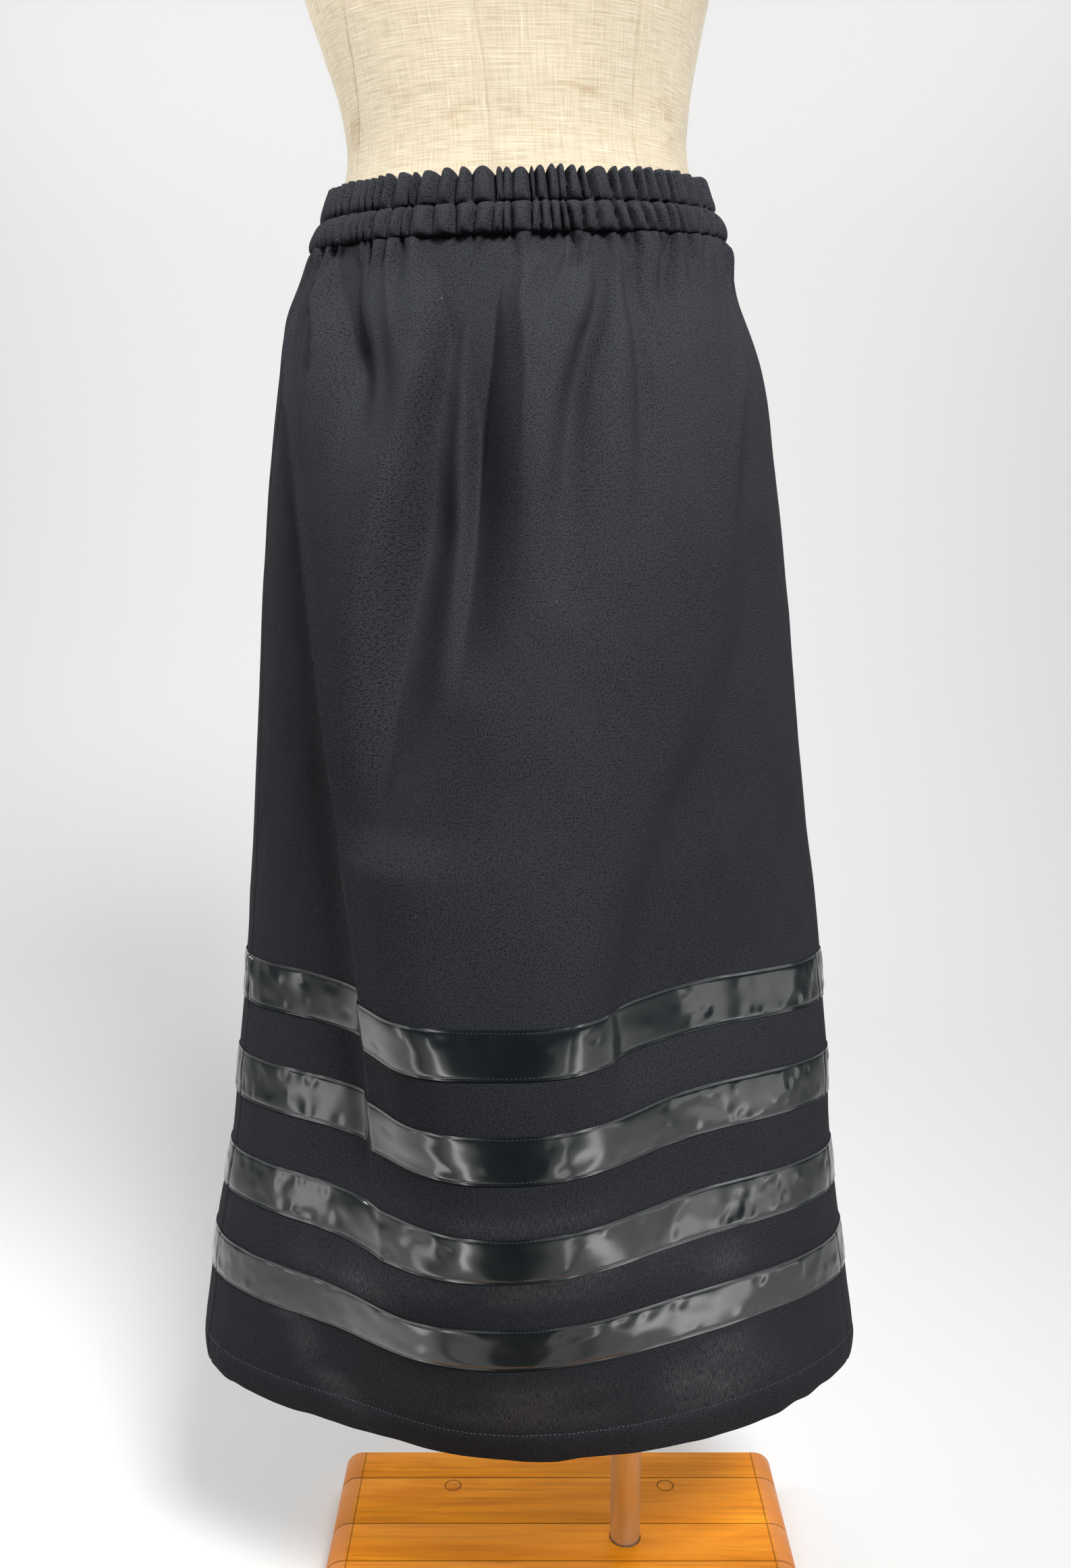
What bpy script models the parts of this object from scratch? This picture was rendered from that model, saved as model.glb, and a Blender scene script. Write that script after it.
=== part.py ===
"""Gathered ribbon skirt on a limbless linen dress form, its pole and its plank base.

Metres, +Z up. The origin is the centre of the base's underside, the skirt faces -Y,
and left and right are as seen from in front.
"""

import math
from collections import namedtuple

import bpy
import bmesh
from mathutils import Vector

# ---- driving sizes ---------------------------------------------------------------

SEAM_GAP = 0.0003            # room between two pieces that touch

CLOTH_THICKNESS = 0.0016
SKIRT_COLUMNS = 96           # steps all round the skirt, two to a gather
LEFT_SEAM_COLUMN = 4         # the side seams lie a little forward of the widest places
RIGHT_SEAM_COLUMN = 44
SEAM_TURN = 0.00011          # half the seam gap, as a share of one turn round the skirt
OUTLINE_STEP = 0.002         # turn either side of a point that gives the direction there
RIBBON_THICKNESS = 0.0010
RIBBON_WIDTH = 0.0381

BAND_HEIGHT = 0.041
BAND_BOTTOM = 1.190          # height of the band's lower stitch line at the centre front
BAND_SEAT = 0.0006           # room between the band and the form that it grips
BAND_PINCH = 0.0045          # band thickness at a stitch line
BAND_GATHERS = 48            # gathers all round the elastic
BAND_STEPS_PER_GATHER = 4
TILT_ACROSS = 0.0285         # the waist line climbs to the right
TILT_BACK = 0.0875           # and to the back
TILT_END = 1.000             # below this height the skirt's rows are level
GATHER_DEPTH = 0.0020        # small gathers in the panels, just under the band
GATHER_FADE = 0.055
TOP_BLEND = 0.055            # length over which the waist line's shape becomes the skirt's

POLE_RADIUS = 0.0143
POLE_X = 0.062
POLE_Y = 0.086
POLE_BOTTOM = 0.0103
POLE_TOP = 1.030

BASE_WIDTH = 0.445
BASE_DEPTH = 0.426
BASE_THICKNESS = 0.040
END_ROUNDING = 0.018         # the sawn ends are rounded over
EDGE_EASING = 0.0012
PLANK_JOINTS = (-0.145, -0.078, -0.012, 0.053, 0.104, 0.172)

PLUG_RADIUS = 0.0078
PLUG_DEPTH = 0.008
PLUG_X = 0.1075
PLUG_Y = 0.160

# ---- tables: one row for a section, a ribbon, a fold ------------------------------

# A level section of the skirt. The front is an oval of half_width by belly with a
# further nose of cloth, which rises over left_run at nose_left and falls over
# right_run at nose_right; both places are measured from centre_x.
Skirt = namedtuple("Skirt", "height half_width centre_x side_y belly nose "
                            "nose_left left_run nose_right right_run back")
SKIRT_ROWS = [
    Skirt(0.284, 0.2860, -0.0300, 0.012, 0.117, 0.042, -0.104, 0.036, 0.125, 0.050, 0.146),
    Skirt(0.412, 0.2665, -0.0300, 0.008, 0.128, 0.060, -0.118, 0.023, 0.090, 0.036, 0.158),
    Skirt(0.491, 0.2525, -0.0280, 0.000, 0.110, 0.085, -0.109, 0.023, 0.080, 0.033, 0.164),
    Skirt(0.573, 0.2440, -0.0255, 0.000, 0.106, 0.098, -0.114, 0.018, 0.078, 0.027, 0.168),
    Skirt(0.654, 0.2365, -0.0260, 0.000, 0.100, 0.110, -0.125, 0.016, 0.076, 0.023, 0.170),
    Skirt(0.760, 0.2240, -0.0285, 0.000, 0.110, 0.098, -0.132, 0.016, 0.090, 0.032, 0.170),
    Skirt(0.850, 0.2150, -0.0305, 0.000, 0.122, 0.082, -0.140, 0.018, 0.104, 0.040, 0.169),
    Skirt(0.940, 0.2065, -0.0320, 0.000, 0.134, 0.060, -0.150, 0.022, 0.120, 0.044, 0.168),
    Skirt(1.030, 0.1965, -0.0340, 0.000, 0.143, 0.034, -0.158, 0.028, 0.136, 0.044, 0.166),
    Skirt(1.100, 0.1860, -0.0350, 0.000, 0.142, 0.014, -0.160, 0.030, 0.146, 0.040, 0.156),
    Skirt(1.150, 0.1735, -0.0392, 0.000, 0.134, 0.004, -0.160, 0.030, 0.150, 0.036, 0.140),
    Skirt(1.190, 0.1590, -0.0383, 0.000, 0.120, 0.000, -0.150, 0.030, 0.150, 0.036, 0.122),
]

# Ribbons from the top one down; lean is how far its cloth slopes from upright.
Ribbon = namedtuple("Ribbon", "name top lean")
RIBBONS = [
    Ribbon("ribbon_1", 0.654, 2.0),
    Ribbon("ribbon_2", 0.573, 5.0),
    Ribbon("ribbon_3", 0.491, 9.0),
    Ribbon("ribbon_4", 0.412, 14.0),
]

# Panel rows between the ribbons' edges and the band, from the hem up.
HEM_HEIGHT = 0.284
HEM_LIFT = 0.010             # the hem climbs this far towards the sides
HEM_LIFT_POWER = 6           # higher keeps the climb nearer to the sides
HEM_LIFT_FADE = 0.060
UPPER_ROWS = (0.750, 0.850, 0.945, 1.030, 1.090, 1.135, 1.168)

# Soft troughs. turn is the place round the skirt (0 left, 0.25 front, 0.5 right, 0.75
# back), drift how far it wanders per metre of drop, spread its half width as a share of
# a turn, height where it is deepest, and above and below how far it reaches.
Fold = namedtuple("Fold", "turn drift spread depth height above below")
FOLDS = [
    Fold(0.142, -0.02, 0.017, 0.0070, 1.125, 0.050, 0.130),
    Fold(0.228, -0.03, 0.018, 0.0085, 1.120, 0.055, 0.190),
    Fold(0.298, 0.02, 0.016, 0.0075, 1.130, 0.050, 0.150),
    Fold(0.392, 0.03, 0.017, 0.0060, 1.125, 0.050, 0.120),
    Fold(0.590, 0.03, 0.016, 0.0055, 1.130, 0.050, 0.130),
    Fold(0.672, 0.02, 0.018, 0.0080, 1.120, 0.055, 0.180),
    Fold(0.758, -0.02, 0.016, 0.0070, 1.125, 0.050, 0.150),
    Fold(0.846, -0.03, 0.018, 0.0080, 1.120, 0.050, 0.170),
    Fold(0.925, -0.02, 0.016, 0.0055, 1.130, 0.050, 0.120),
    Fold(0.640, 0.04, 0.026, 0.0140, 0.300, 0.330, 0.300),
    Fold(0.765, 0.02, 0.030, 0.0160, 0.300, 0.380, 0.300),
    Fold(0.880, -0.03, 0.025, 0.0130, 0.300, 0.300, 0.300),
]

# The band's outer face from its lower stitch line up: thickness there, gather depth.
BandRow = namedtuple("BandRow", "rise thickness gather")
BAND_ROWS = [
    BandRow(0.0000, BAND_PINCH, 0.0007),
    BandRow(0.0100, 0.0078, 0.0018),
    BandRow(0.0205, BAND_PINCH, 0.0006),
    BandRow(0.0310, 0.0080, 0.0018),
    BandRow(BAND_HEIGHT, 0.0060, 0.0018),
]
BAND_SCALLOP = 0.0011        # rise and fall of the band's upper edge

# A level section of the dress form.
Form = namedtuple("Form", "height half_width front back centre_x")
FORM_ROWS = [
    Form(0.930, 0.160, 0.100, 0.136, -0.0360),
    Form(0.960, 0.168, 0.107, 0.143, -0.0360),
    Form(1.010, 0.172, 0.113, 0.147, -0.0360),
    Form(1.060, 0.171, 0.116, 0.145, -0.0360),
    Form(1.110, 0.167, 0.116, 0.135, -0.0355),
    Form(1.150, 0.161, 0.113, 0.123, -0.0350),
    Form(1.190, 0.1515, 0.109, 0.112, -0.0350),
    Form(1.210, 0.1440, 0.106, 0.107, -0.0355),
    Form(1.230, 0.1355, 0.102, 0.102, -0.0360),
    Form(1.250, 0.1290, 0.099, 0.099, -0.0370),
    Form(1.272, 0.1270, 0.097, 0.098, -0.0380),
    Form(1.305, 0.1310, 0.099, 0.100, -0.0400),
    Form(1.340, 0.1395, 0.103, 0.103, -0.0425),
    Form(1.380, 0.1500, 0.110, 0.105, -0.0450),
    Form(1.430, 0.1570, 0.124, 0.104, -0.0450),
    Form(1.480, 0.1600, 0.133, 0.105, -0.0450),
    Form(1.530, 0.1620, 0.124, 0.109, -0.0450),
    Form(1.580, 0.1670, 0.103, 0.111, -0.0450),
    Form(1.620, 0.1690, 0.083, 0.103, -0.0450),
    Form(1.648, 0.1560, 0.067, 0.089, -0.0450),
    Form(1.668, 0.1230, 0.057, 0.075, -0.0450),
    Form(1.686, 0.0830, 0.051, 0.063, -0.0450),
    Form(1.706, 0.0600, 0.049, 0.055, -0.0450),
    Form(1.760, 0.0550, 0.048, 0.051, -0.0450),
]
FORM_COLUMNS = 36
FORM_SQUARENESS = 2.2        # exponent of the form's oval

ROUND_SIDES = 32             # sides of the pole and of each bore
PLUG_SIDES = 24

CLOTH_COLOUR = (0.012, 0.012, 0.014)
RIBBON_COLOUR = (0.010, 0.011, 0.011)
LINEN_COLOUR = (0.58, 0.50, 0.38)
STEEL_COLOUR = (0.56, 0.54, 0.51)
WOOD_COLOUR = (0.56, 0.22, 0.04)
PLUG_COLOUR = (0.46, 0.16, 0.03)


# ---- shape of the form and the skirt ----------------------------------------------

def section_at(rows, height):
    """Every column at this height, on a smooth curve through the table's rows."""
    height = min(max(height, rows[0].height), rows[-1].height)
    upper = next(i for i in range(1, len(rows)) if height <= rows[i].height)
    low, high = rows[upper - 1], rows[upper]
    before, after = rows[max(upper - 2, 0)], rows[min(upper + 1, len(rows) - 1)]
    span = high.height - low.height
    t = (height - low.height) / span
    values = []
    for column in range(len(low)):
        start = (high[column] - before[column]) / (high.height - before.height) * span
        end = (after[column] - low[column]) / (after.height - low.height) * span
        values.append(low[column] * (1 + 2 * t) * (1 - t) ** 2 + start * t * (1 - t) ** 2
                      + high[column] * (3 - 2 * t) * t ** 2 + end * (t - 1) * t ** 2)
    return type(low)(*values)


def ease(share):
    """0 to 1 along a smooth step."""
    share = min(max(share, 0.0), 1.0)
    return share * share * (3 - 2 * share)


def rise(distance):
    """0 far before a point, a half at it and 1 far past it."""
    return 1 / (1 + math.exp(-min(max(distance, -40), 40)))


def form_outline(height, turn):
    """A point on the form's surface: an oval a little squarer than an ellipse."""
    row = section_at(FORM_ROWS, height)
    across, forward = -math.cos(2 * math.pi * turn), math.sin(2 * math.pi * turn)
    power = 2 / FORM_SQUARENESS
    depth = row.front if forward > 0 else row.back
    return Vector((row.centre_x + row.half_width * math.copysign(abs(across) ** power, across),
                   -depth * math.copysign(abs(forward) ** power, forward), height))


def skirt_outline(height, turn):
    """A point on the skirt's outside at a level height, before folds and gathers."""
    row = section_at(SKIRT_ROWS, height)
    across, forward = -math.cos(2 * math.pi * turn), math.sin(2 * math.pi * turn)
    x = row.half_width * across
    if forward > 0:
        nose = rise((x - row.nose_left) / row.left_run) * rise((row.nose_right - x) / row.right_run)
        y = row.side_y - row.belly * forward - row.nose * nose * ease(2 * forward)
    else:
        y = row.side_y - row.back * forward
    return Vector((row.centre_x + x, y, height))


def outward(outline, height, turn):
    """The level direction that points out of an outline."""
    along = outline(height, turn + OUTLINE_STEP) - outline(height, turn - OUTLINE_STEP)
    return Vector((along.y, -along.x, 0)).normalized()


def waist_lift(point):
    """How far the tilted waist line lies above the level one."""
    return TILT_ACROSS * (point.x - SKIRT_ROWS[-1].centre_x) + TILT_BACK * (point.y + SKIRT_ROWS[-1].belly)


def waist_point(rise_above, turn, out):
    """A point near the waist line, this far above it and this far out from the form."""
    level = BAND_BOTTOM + rise_above
    height = level + waist_lift(form_outline(level, turn))
    return form_outline(height, turn) + outward(form_outline, height, turn) * out


def fold_depth(height, turn):
    """How far the soft troughs draw the cloth in at this place."""
    depth = 0.0
    for fold in FOLDS:
        centre = fold.turn + fold.drift * (fold.height - height)
        reach = fold.above if height > fold.height else fold.below
        depth += fold.depth * math.exp(-((turn - centre) / fold.spread) ** 2
                                       - ((height - fold.height) / reach) ** 2)
    return depth


def skirt_point(height, turn, out):
    """A point of the skirt panels, moved out from the cloth's outer face by out."""
    turn = turn % 1.0
    level = skirt_outline(height, turn)
    lifted = ease((height - TILT_END) / (BAND_BOTTOM - TILT_END))
    level.z += waist_lift(level) * lifted
    level.z += (HEM_LIFT * math.cos(2 * math.pi * turn) ** HEM_LIFT_POWER
                * math.exp((HEM_HEIGHT - height) / HEM_LIFT_FADE))
    drop = BAND_BOTTOM - height
    small = GATHER_DEPTH * math.exp(-drop / GATHER_FADE) * math.cos(2 * math.pi * BAND_GATHERS * turn)
    level += outward(skirt_outline, height, turn) * (out + small - fold_depth(height, turn))
    if drop > TOP_BLEND:
        return level
    seat = BAND_SEAT + BAND_PINCH + GATHER_DEPTH / 2
    waist = waist_point(-SEAM_GAP - drop, turn, seat + small + out)
    return waist.lerp(level, ease(drop / TOP_BLEND))


# ---- Blender helpers ----------------------------------------------------------------

def clear_scene():
    for item in list(bpy.data.objects):
        bpy.data.objects.remove(item, do_unlink=True)


def new_collection(name):
    group = bpy.data.collections.new(name)
    bpy.context.scene.collection.children.link(group)
    return group


def make_material(name, colour, roughness, metallic=0.0):
    finish = bpy.data.materials.new(name)
    finish.use_nodes = True
    shader = finish.node_tree.nodes["Principled BSDF"]
    shader.inputs["Base Color"].default_value = (*colour, 1.0)
    shader.inputs["Roughness"].default_value = roughness
    shader.inputs["Metallic"].default_value = metallic
    return finish


def add_piece(name, mesh, group, finish, smooth_angle=50):
    piece = bpy.data.objects.new(name, mesh)
    group.objects.link(piece)
    mesh.materials.append(finish)
    mesh.shade_smooth()
    mesh.set_sharp_from_angle(angle=math.radians(smooth_angle))
    return piece


def finish_bmesh(shape, name):
    bmesh.ops.recalc_face_normals(shape, faces=shape.faces)
    mesh = bpy.data.meshes.new(name)
    shape.to_mesh(mesh)
    shape.free()
    return mesh


def wall_mesh(name, outer, inner, closed):
    """Join an outer and an inner grid of points into one thin wall.

    Both grids hold rows of the same length. A closed wall goes all round; an open one has
    as many inner rows as outer ones, and its two ends are shut.
    """
    shape = bmesh.new()
    outside = [[shape.verts.new(point) for point in row] for row in outer]
    inside = [[shape.verts.new(point) for point in row] for row in inner]
    columns = len(outer[0])

    def patch(a, b, c, d):
        shape.faces.new((a, b, c))
        shape.faces.new((a, c, d))

    def bridge(low, high):
        for column in range(columns if closed else columns - 1):
            after = (column + 1) % columns
            patch(low[column], low[after], high[after], high[column])

    for rows in (outside, inside):
        for low, high in zip(rows, rows[1:]):
            bridge(low, high)
    bridge(outside[0], inside[0])
    bridge(outside[-1], inside[-1])
    if not closed:
        for end in (0, -1):
            for row in range(len(outside) - 1):
                patch(outside[row][end], outside[row + 1][end], inside[row + 1][end], inside[row][end])
    return finish_bmesh(shape, name)


def add_cutter(name, radius, depth, location, group):
    bpy.ops.mesh.primitive_cylinder_add(vertices=ROUND_SIDES, radius=radius, depth=depth, location=location)
    cutter = bpy.context.object
    cutter.name = name
    for owner in list(cutter.users_collection):
        owner.objects.unlink(cutter)
    group.objects.link(cutter)
    cutter.hide_render = True
    cutter.display_type = "WIRE"
    return cutter


def cut(piece, cutter):
    hole = piece.modifiers.new("hole", "BOOLEAN")
    hole.operation = "DIFFERENCE"
    hole.object = cutter


# ---- the pieces -----------------------------------------------------------------------

def panel_heights():
    """Rows of a panel from the hem up, with one on each edge of each ribbon."""
    heights = [HEM_HEIGHT]
    for ribbon in reversed(RIBBONS):
        heights += [ribbon_bottom(ribbon), ribbon.top]
    return heights + list(UPPER_ROWS) + [BAND_BOTTOM]


def ribbon_bottom(ribbon):
    return ribbon.top - RIBBON_WIDTH * math.cos(math.radians(ribbon.lean))


def turns_between(first, last):
    """Places round the skirt from one column to another, with a seam's room at each end."""
    turns = [column / SKIRT_COLUMNS for column in range(first, last + 1)]
    turns[0] += SEAM_TURN
    turns[-1] -= SEAM_TURN
    return turns


def add_panel(name, first, last, group, finish):
    """One side of the skirt, from one side seam round to the other."""
    turns = turns_between(first, last)
    outer = [[skirt_point(height, turn, 0.0) for turn in turns] for height in panel_heights()]
    inner = [[skirt_point(height, turn, -CLOTH_THICKNESS) for turn in turns] for height in panel_heights()]
    add_piece(name, wall_mesh(name, outer, inner, closed=False), group, finish)


def add_ribbon(ribbon, group, finish):
    """A strip laid on both panels, all round from the right seam back to it."""
    turns = turns_between(RIGHT_SEAM_COLUMN, SKIRT_COLUMNS + RIGHT_SEAM_COLUMN)
    edges = (ribbon_bottom(ribbon), ribbon.top)
    outer = [[skirt_point(edge, turn, SEAM_GAP + RIBBON_THICKNESS) for turn in turns] for edge in edges]
    inner = [[skirt_point(edge, turn, SEAM_GAP) for turn in turns] for edge in edges]
    add_piece(ribbon.name, wall_mesh(ribbon.name, outer, inner, closed=False), group, finish)


def add_waistband(group, finish):
    """The elastic casing: two gathered channels over a plain inside that grips the form."""
    columns = BAND_GATHERS * BAND_STEPS_PER_GATHER
    turns = [column / columns for column in range(columns)]
    outer = []
    for row in BAND_ROWS:
        ring = []
        for turn in turns:
            wave = math.cos(2 * math.pi * BAND_GATHERS * turn)
            point = waist_point(row.rise, turn, BAND_SEAT + row.thickness + row.gather * wave)
            if row.rise == BAND_HEIGHT:
                point.z += BAND_SCALLOP * wave
            ring.append(point)
        outer.append(ring)
    inner = [[waist_point(share * BAND_HEIGHT, turn, BAND_SEAT) for turn in turns] for share in (0, 0.5, 1)]
    add_piece("waistband", wall_mesh("waistband", outer, inner, closed=True), group, finish)


def add_form(group, cutters, finish):
    """The torso, lofted through its sections and bored underneath for the pole."""
    shape = bmesh.new()
    rings = []
    for row in FORM_ROWS:
        points = [form_outline(row.height, column / FORM_COLUMNS) for column in range(FORM_COLUMNS)]
        rings.append([shape.verts.new(point) for point in points])
    for low, high in zip(rings, rings[1:]):
        for column in range(FORM_COLUMNS):
            after = (column + 1) % FORM_COLUMNS
            shape.faces.new((low[column], low[after], high[after], high[column]))
    shape.faces.new(rings[0])
    shape.faces.new(rings[-1])
    form = add_piece("dress_form", finish_bmesh(shape, "dress_form"), group, finish)
    bottom = FORM_ROWS[0].height
    depth = 2 * (POLE_TOP + SEAM_GAP - bottom)
    cut(form, add_cutter("form_bore", POLE_RADIUS + SEAM_GAP, depth, (POLE_X, POLE_Y, bottom), cutters))


def add_pole(group, finish):
    length = POLE_TOP - POLE_BOTTOM
    bpy.ops.mesh.primitive_cylinder_add(vertices=ROUND_SIDES, radius=POLE_RADIUS, depth=length,
                                        location=(POLE_X, POLE_Y, POLE_BOTTOM + length / 2))
    pole = bpy.context.object
    pole.name = "pole"
    for owner in list(pole.users_collection):
        owner.objects.unlink(pole)
    group.objects.link(pole)
    pole.data.materials.append(finish)
    pole.data.shade_smooth()
    pole.data.set_sharp_from_angle(angle=math.radians(50))


def plank_mesh(name, near, far):
    """One plank across the base, its two end edges rounded over and the rest eased."""
    shape = bmesh.new()
    bmesh.ops.create_cube(shape, size=1.0)
    for corner in shape.verts:
        corner.co.x *= BASE_WIDTH
        corner.co.y = near if corner.co.y < 0 else far
        corner.co.z = BASE_THICKNESS if corner.co.z > 0 else 0.0

    def top_edges(axis):
        return [edge for edge in shape.edges
                if all(corner.co.z > BASE_THICKNESS / 2 for corner in edge.verts)
                and abs(edge.verts[0].co[axis] - edge.verts[1].co[axis]) > 0.01]

    bmesh.ops.bevel(shape, geom=top_edges(1), offset=END_ROUNDING, segments=4, profile=0.5,
                    affect="EDGES")
    bmesh.ops.bevel(shape, geom=top_edges(0), offset=EDGE_EASING, segments=1, profile=0.5,
                    affect="EDGES")
    return finish_bmesh(shape, name)


def add_base(group, cutters, wood, plug_wood):
    """Planks glued edge to edge, with a hole for the pole and plugs over the screws."""
    edges = (-BASE_DEPTH / 2, *PLANK_JOINTS, BASE_DEPTH / 2)
    plug_bottom = BASE_THICKNESS - PLUG_DEPTH
    for number, (near, far) in enumerate(zip(edges, edges[1:]), start=1):
        name = f"plank_{number}"
        near += 0 if number == 1 else SEAM_GAP / 2
        far -= 0 if number == len(edges) - 1 else SEAM_GAP / 2
        plank = add_piece(name, plank_mesh(name, near, far), group, wood, 30)
        if near < POLE_Y < far:
            depth = 2 * (BASE_THICKNESS - POLE_BOTTOM + SEAM_GAP)
            place = (POLE_X, POLE_Y, BASE_THICKNESS)
            cut(plank, add_cutter("base_bore", POLE_RADIUS + SEAM_GAP, depth, place, cutters))
        for plug_y in (-PLUG_Y, PLUG_Y):
            if not near < plug_y < far:
                continue
            for side, plug_x in (("left", -PLUG_X), ("right", PLUG_X)):
                end = "back" if plug_y > 0 else "front"
                depth = 2 * (PLUG_DEPTH + SEAM_GAP)
                place = (plug_x, plug_y, BASE_THICKNESS)
                bore = add_cutter(f"bore_{end}_{side}", PLUG_RADIUS + SEAM_GAP, depth, place, cutters)
                cut(plank, bore)
                shape = bmesh.new()
                bmesh.ops.create_cone(shape, cap_ends=True, segments=PLUG_SIDES, radius1=PLUG_RADIUS,
                                      radius2=PLUG_RADIUS, depth=PLUG_DEPTH)
                plug = finish_bmesh(shape, f"plug_{end}_{side}")
                piece = add_piece(f"plug_{end}_{side}", plug, group, plug_wood)
                piece.location = (plug_x, plug_y, plug_bottom + PLUG_DEPTH / 2)


def main():
    clear_scene()
    group = new_collection("ribbon_skirt_on_form")
    cutters = new_collection("cutters")
    cloth = make_material("black_crepe", CLOTH_COLOUR, 0.85)
    satin = make_material("black_satin", RIBBON_COLOUR, 0.30)
    linen = make_material("natural_linen", LINEN_COLOUR, 0.90)
    steel = make_material("brushed_steel", STEEL_COLOUR, 0.35, 1.0)
    wood = make_material("varnished_pine", WOOD_COLOUR, 0.28)
    plug_wood = make_material("plug_pine", PLUG_COLOUR, 0.32)
    add_panel("front_panel", LEFT_SEAM_COLUMN, RIGHT_SEAM_COLUMN, group, cloth)
    add_panel("back_panel", RIGHT_SEAM_COLUMN, SKIRT_COLUMNS + LEFT_SEAM_COLUMN, group, cloth)
    add_waistband(group, cloth)
    for ribbon in RIBBONS:
        add_ribbon(ribbon, group, satin)
    add_form(group, cutters, linen)
    add_pole(group, steel)
    add_base(group, cutters, wood, plug_wood)


main()
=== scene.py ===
# Black gathered ribbon skirt on a linen dress form, with its steel pole and plank base.
import math
import random

import bmesh
import bpy
import numpy as np
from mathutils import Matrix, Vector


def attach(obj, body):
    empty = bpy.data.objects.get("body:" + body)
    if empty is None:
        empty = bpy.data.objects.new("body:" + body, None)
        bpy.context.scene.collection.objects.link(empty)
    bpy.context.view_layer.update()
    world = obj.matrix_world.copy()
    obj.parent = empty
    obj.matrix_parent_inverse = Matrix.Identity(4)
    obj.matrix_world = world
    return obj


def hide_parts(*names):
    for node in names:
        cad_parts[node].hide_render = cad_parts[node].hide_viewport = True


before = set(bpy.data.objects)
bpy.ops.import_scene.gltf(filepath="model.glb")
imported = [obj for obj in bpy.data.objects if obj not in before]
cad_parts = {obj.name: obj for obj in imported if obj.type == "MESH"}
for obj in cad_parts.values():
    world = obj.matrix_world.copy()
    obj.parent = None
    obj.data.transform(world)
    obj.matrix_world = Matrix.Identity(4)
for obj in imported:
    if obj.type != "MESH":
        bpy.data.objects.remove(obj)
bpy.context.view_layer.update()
print("frame loaded with", len(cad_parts), "nodes")


# Small helpers: choosing pieces, smooth curves, noise and thin walls

def deselectAll():
    if bpy.context.object and bpy.context.object.mode != "OBJECT":
        bpy.ops.object.mode_set(mode="OBJECT")
    bpy.ops.object.select_all(action="DESELECT")


def choosePiece(piece):
    deselectAll()
    piece.select_set(True)
    bpy.context.view_layer.objects.active = piece


def ease(share):
    share = np.clip(share, 0.0, 1.0)
    return share * share * (3 - 2 * share)


def rise(distance):
    return 1 / (1 + np.exp(-np.clip(distance, -40, 40)))


def bell(distance, power=2):  # 1 at the middle, falling away on both sides
    return np.exp(-np.abs(distance) ** power)


def smoothAlong(heights, values, at):  # smooth curve through a short column of values
    h = np.array(heights, float)
    v = np.array(values, float)
    at = np.clip(at, h[0], h[-1])
    slopes = np.empty(len(v))
    slopes[1:-1] = (v[2:] - v[:-2]) / (h[2:] - h[:-2])
    slopes[0] = (v[1] - v[0]) / (h[1] - h[0])
    slopes[-1] = (v[-1] - v[-2]) / (h[-1] - h[-2])
    upper = np.clip(np.searchsorted(h, at), 1, len(h) - 1)
    span = h[upper] - h[upper - 1]
    t = (at - h[upper - 1]) / span
    return (v[upper - 1] * (1 + 2 * t) * (1 - t) ** 2
            + slopes[upper - 1] * span * t * (1 - t) ** 2
            + v[upper] * (3 - 2 * t) * t ** 2
            + slopes[upper] * span * (t - 1) * t ** 2)


noiseRows = 128  # the noise below repeats upwards after this many steps


def softNoise(across, up, wraps, seed):  # smooth hills from -1 to 1; across repeats after wraps steps
    table = np.random.default_rng(seed).uniform(-1, 1, (wraps, noiseRows))
    column = np.floor(across).astype(int)
    row = np.floor(up).astype(int)
    fx = ease(across - column)
    fy = ease(up - row)

    def hillAt(row):
        left, right = table[column % wraps, row % noiseRows], table[(column + 1) % wraps, row % noiseRows]
        return left * (1 - fx) + right * fx

    return hillAt(row) * (1 - fy) + hillAt(row + 1) * fy


def meshPiece(name, points, faces, material, uvs=None, sharpAngle=50):
    mesh = bpy.data.meshes.new(name)
    mesh.from_pydata([tuple(p) for p in points], [], faces)
    if uvs is not None:
        layer = mesh.uv_layers.new(name="clothMetres")
        corner = np.empty(len(mesh.loops), int)
        mesh.loops.foreach_get("vertex_index", corner)
        layer.data.foreach_set("uv", np.asarray(uvs, np.float32)[corner].ravel())
    mesh.materials.append(material)
    mesh.shade_smooth()
    mesh.set_sharp_from_angle(angle=math.radians(sharpAngle))
    mesh.validate()
    piece = bpy.data.objects.new(name, mesh)
    bpy.context.scene.collection.objects.link(piece)
    return piece


def gridFaces(rows, columns, spans, start=0, turned=False):  # turned faces look the other way
    faces = []
    for row in range(rows - 1):
        low = start + row * columns
        for column in range(spans):
            after = (column + 1) % columns
            near, far = (after, column) if turned else (column, after)
            faces.append((low + near, low + far, low + columns + far, low + columns + near))
    return faces


def wallPiece(name, outer, inner, closed, material, uvOuter, uvInner, sharpAngle=50):
    # two grids of points joined into one thin wall; rows run upwards, columns go round
    rows, columns = outer.shape[:2]
    points = np.concatenate([outer.reshape(-1, 3), inner.reshape(-1, 3)])
    uvs = np.concatenate([uvOuter.reshape(-1, 2), uvInner.reshape(-1, 2)])
    start = rows * columns
    spans = columns if closed else columns - 1
    faces = gridFaces(rows, columns, spans) + gridFaces(inner.shape[0], columns, spans, start, True)
    top = start - columns
    innerTop = len(points) - columns
    for column in range(spans):
        after = (column + 1) % columns
        faces.append((after, column, start + column, start + after))
        faces.append((top + column, top + after, innerTop + after, innerTop + column))
    if not closed:
        for first in range(0, top, columns):
            last = first + columns - 1
            faces.append((first, first + columns, start + first + columns, start + first))
            faces.append((last + columns, last, start + last, start + last + columns))
    return meshPiece(name, points, faces, material, uvs, sharpAngle)


def finishPiece(piece, slot, *nodes):
    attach(piece, "root")
    if nodes:
        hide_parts(*nodes)
    return piece


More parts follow.
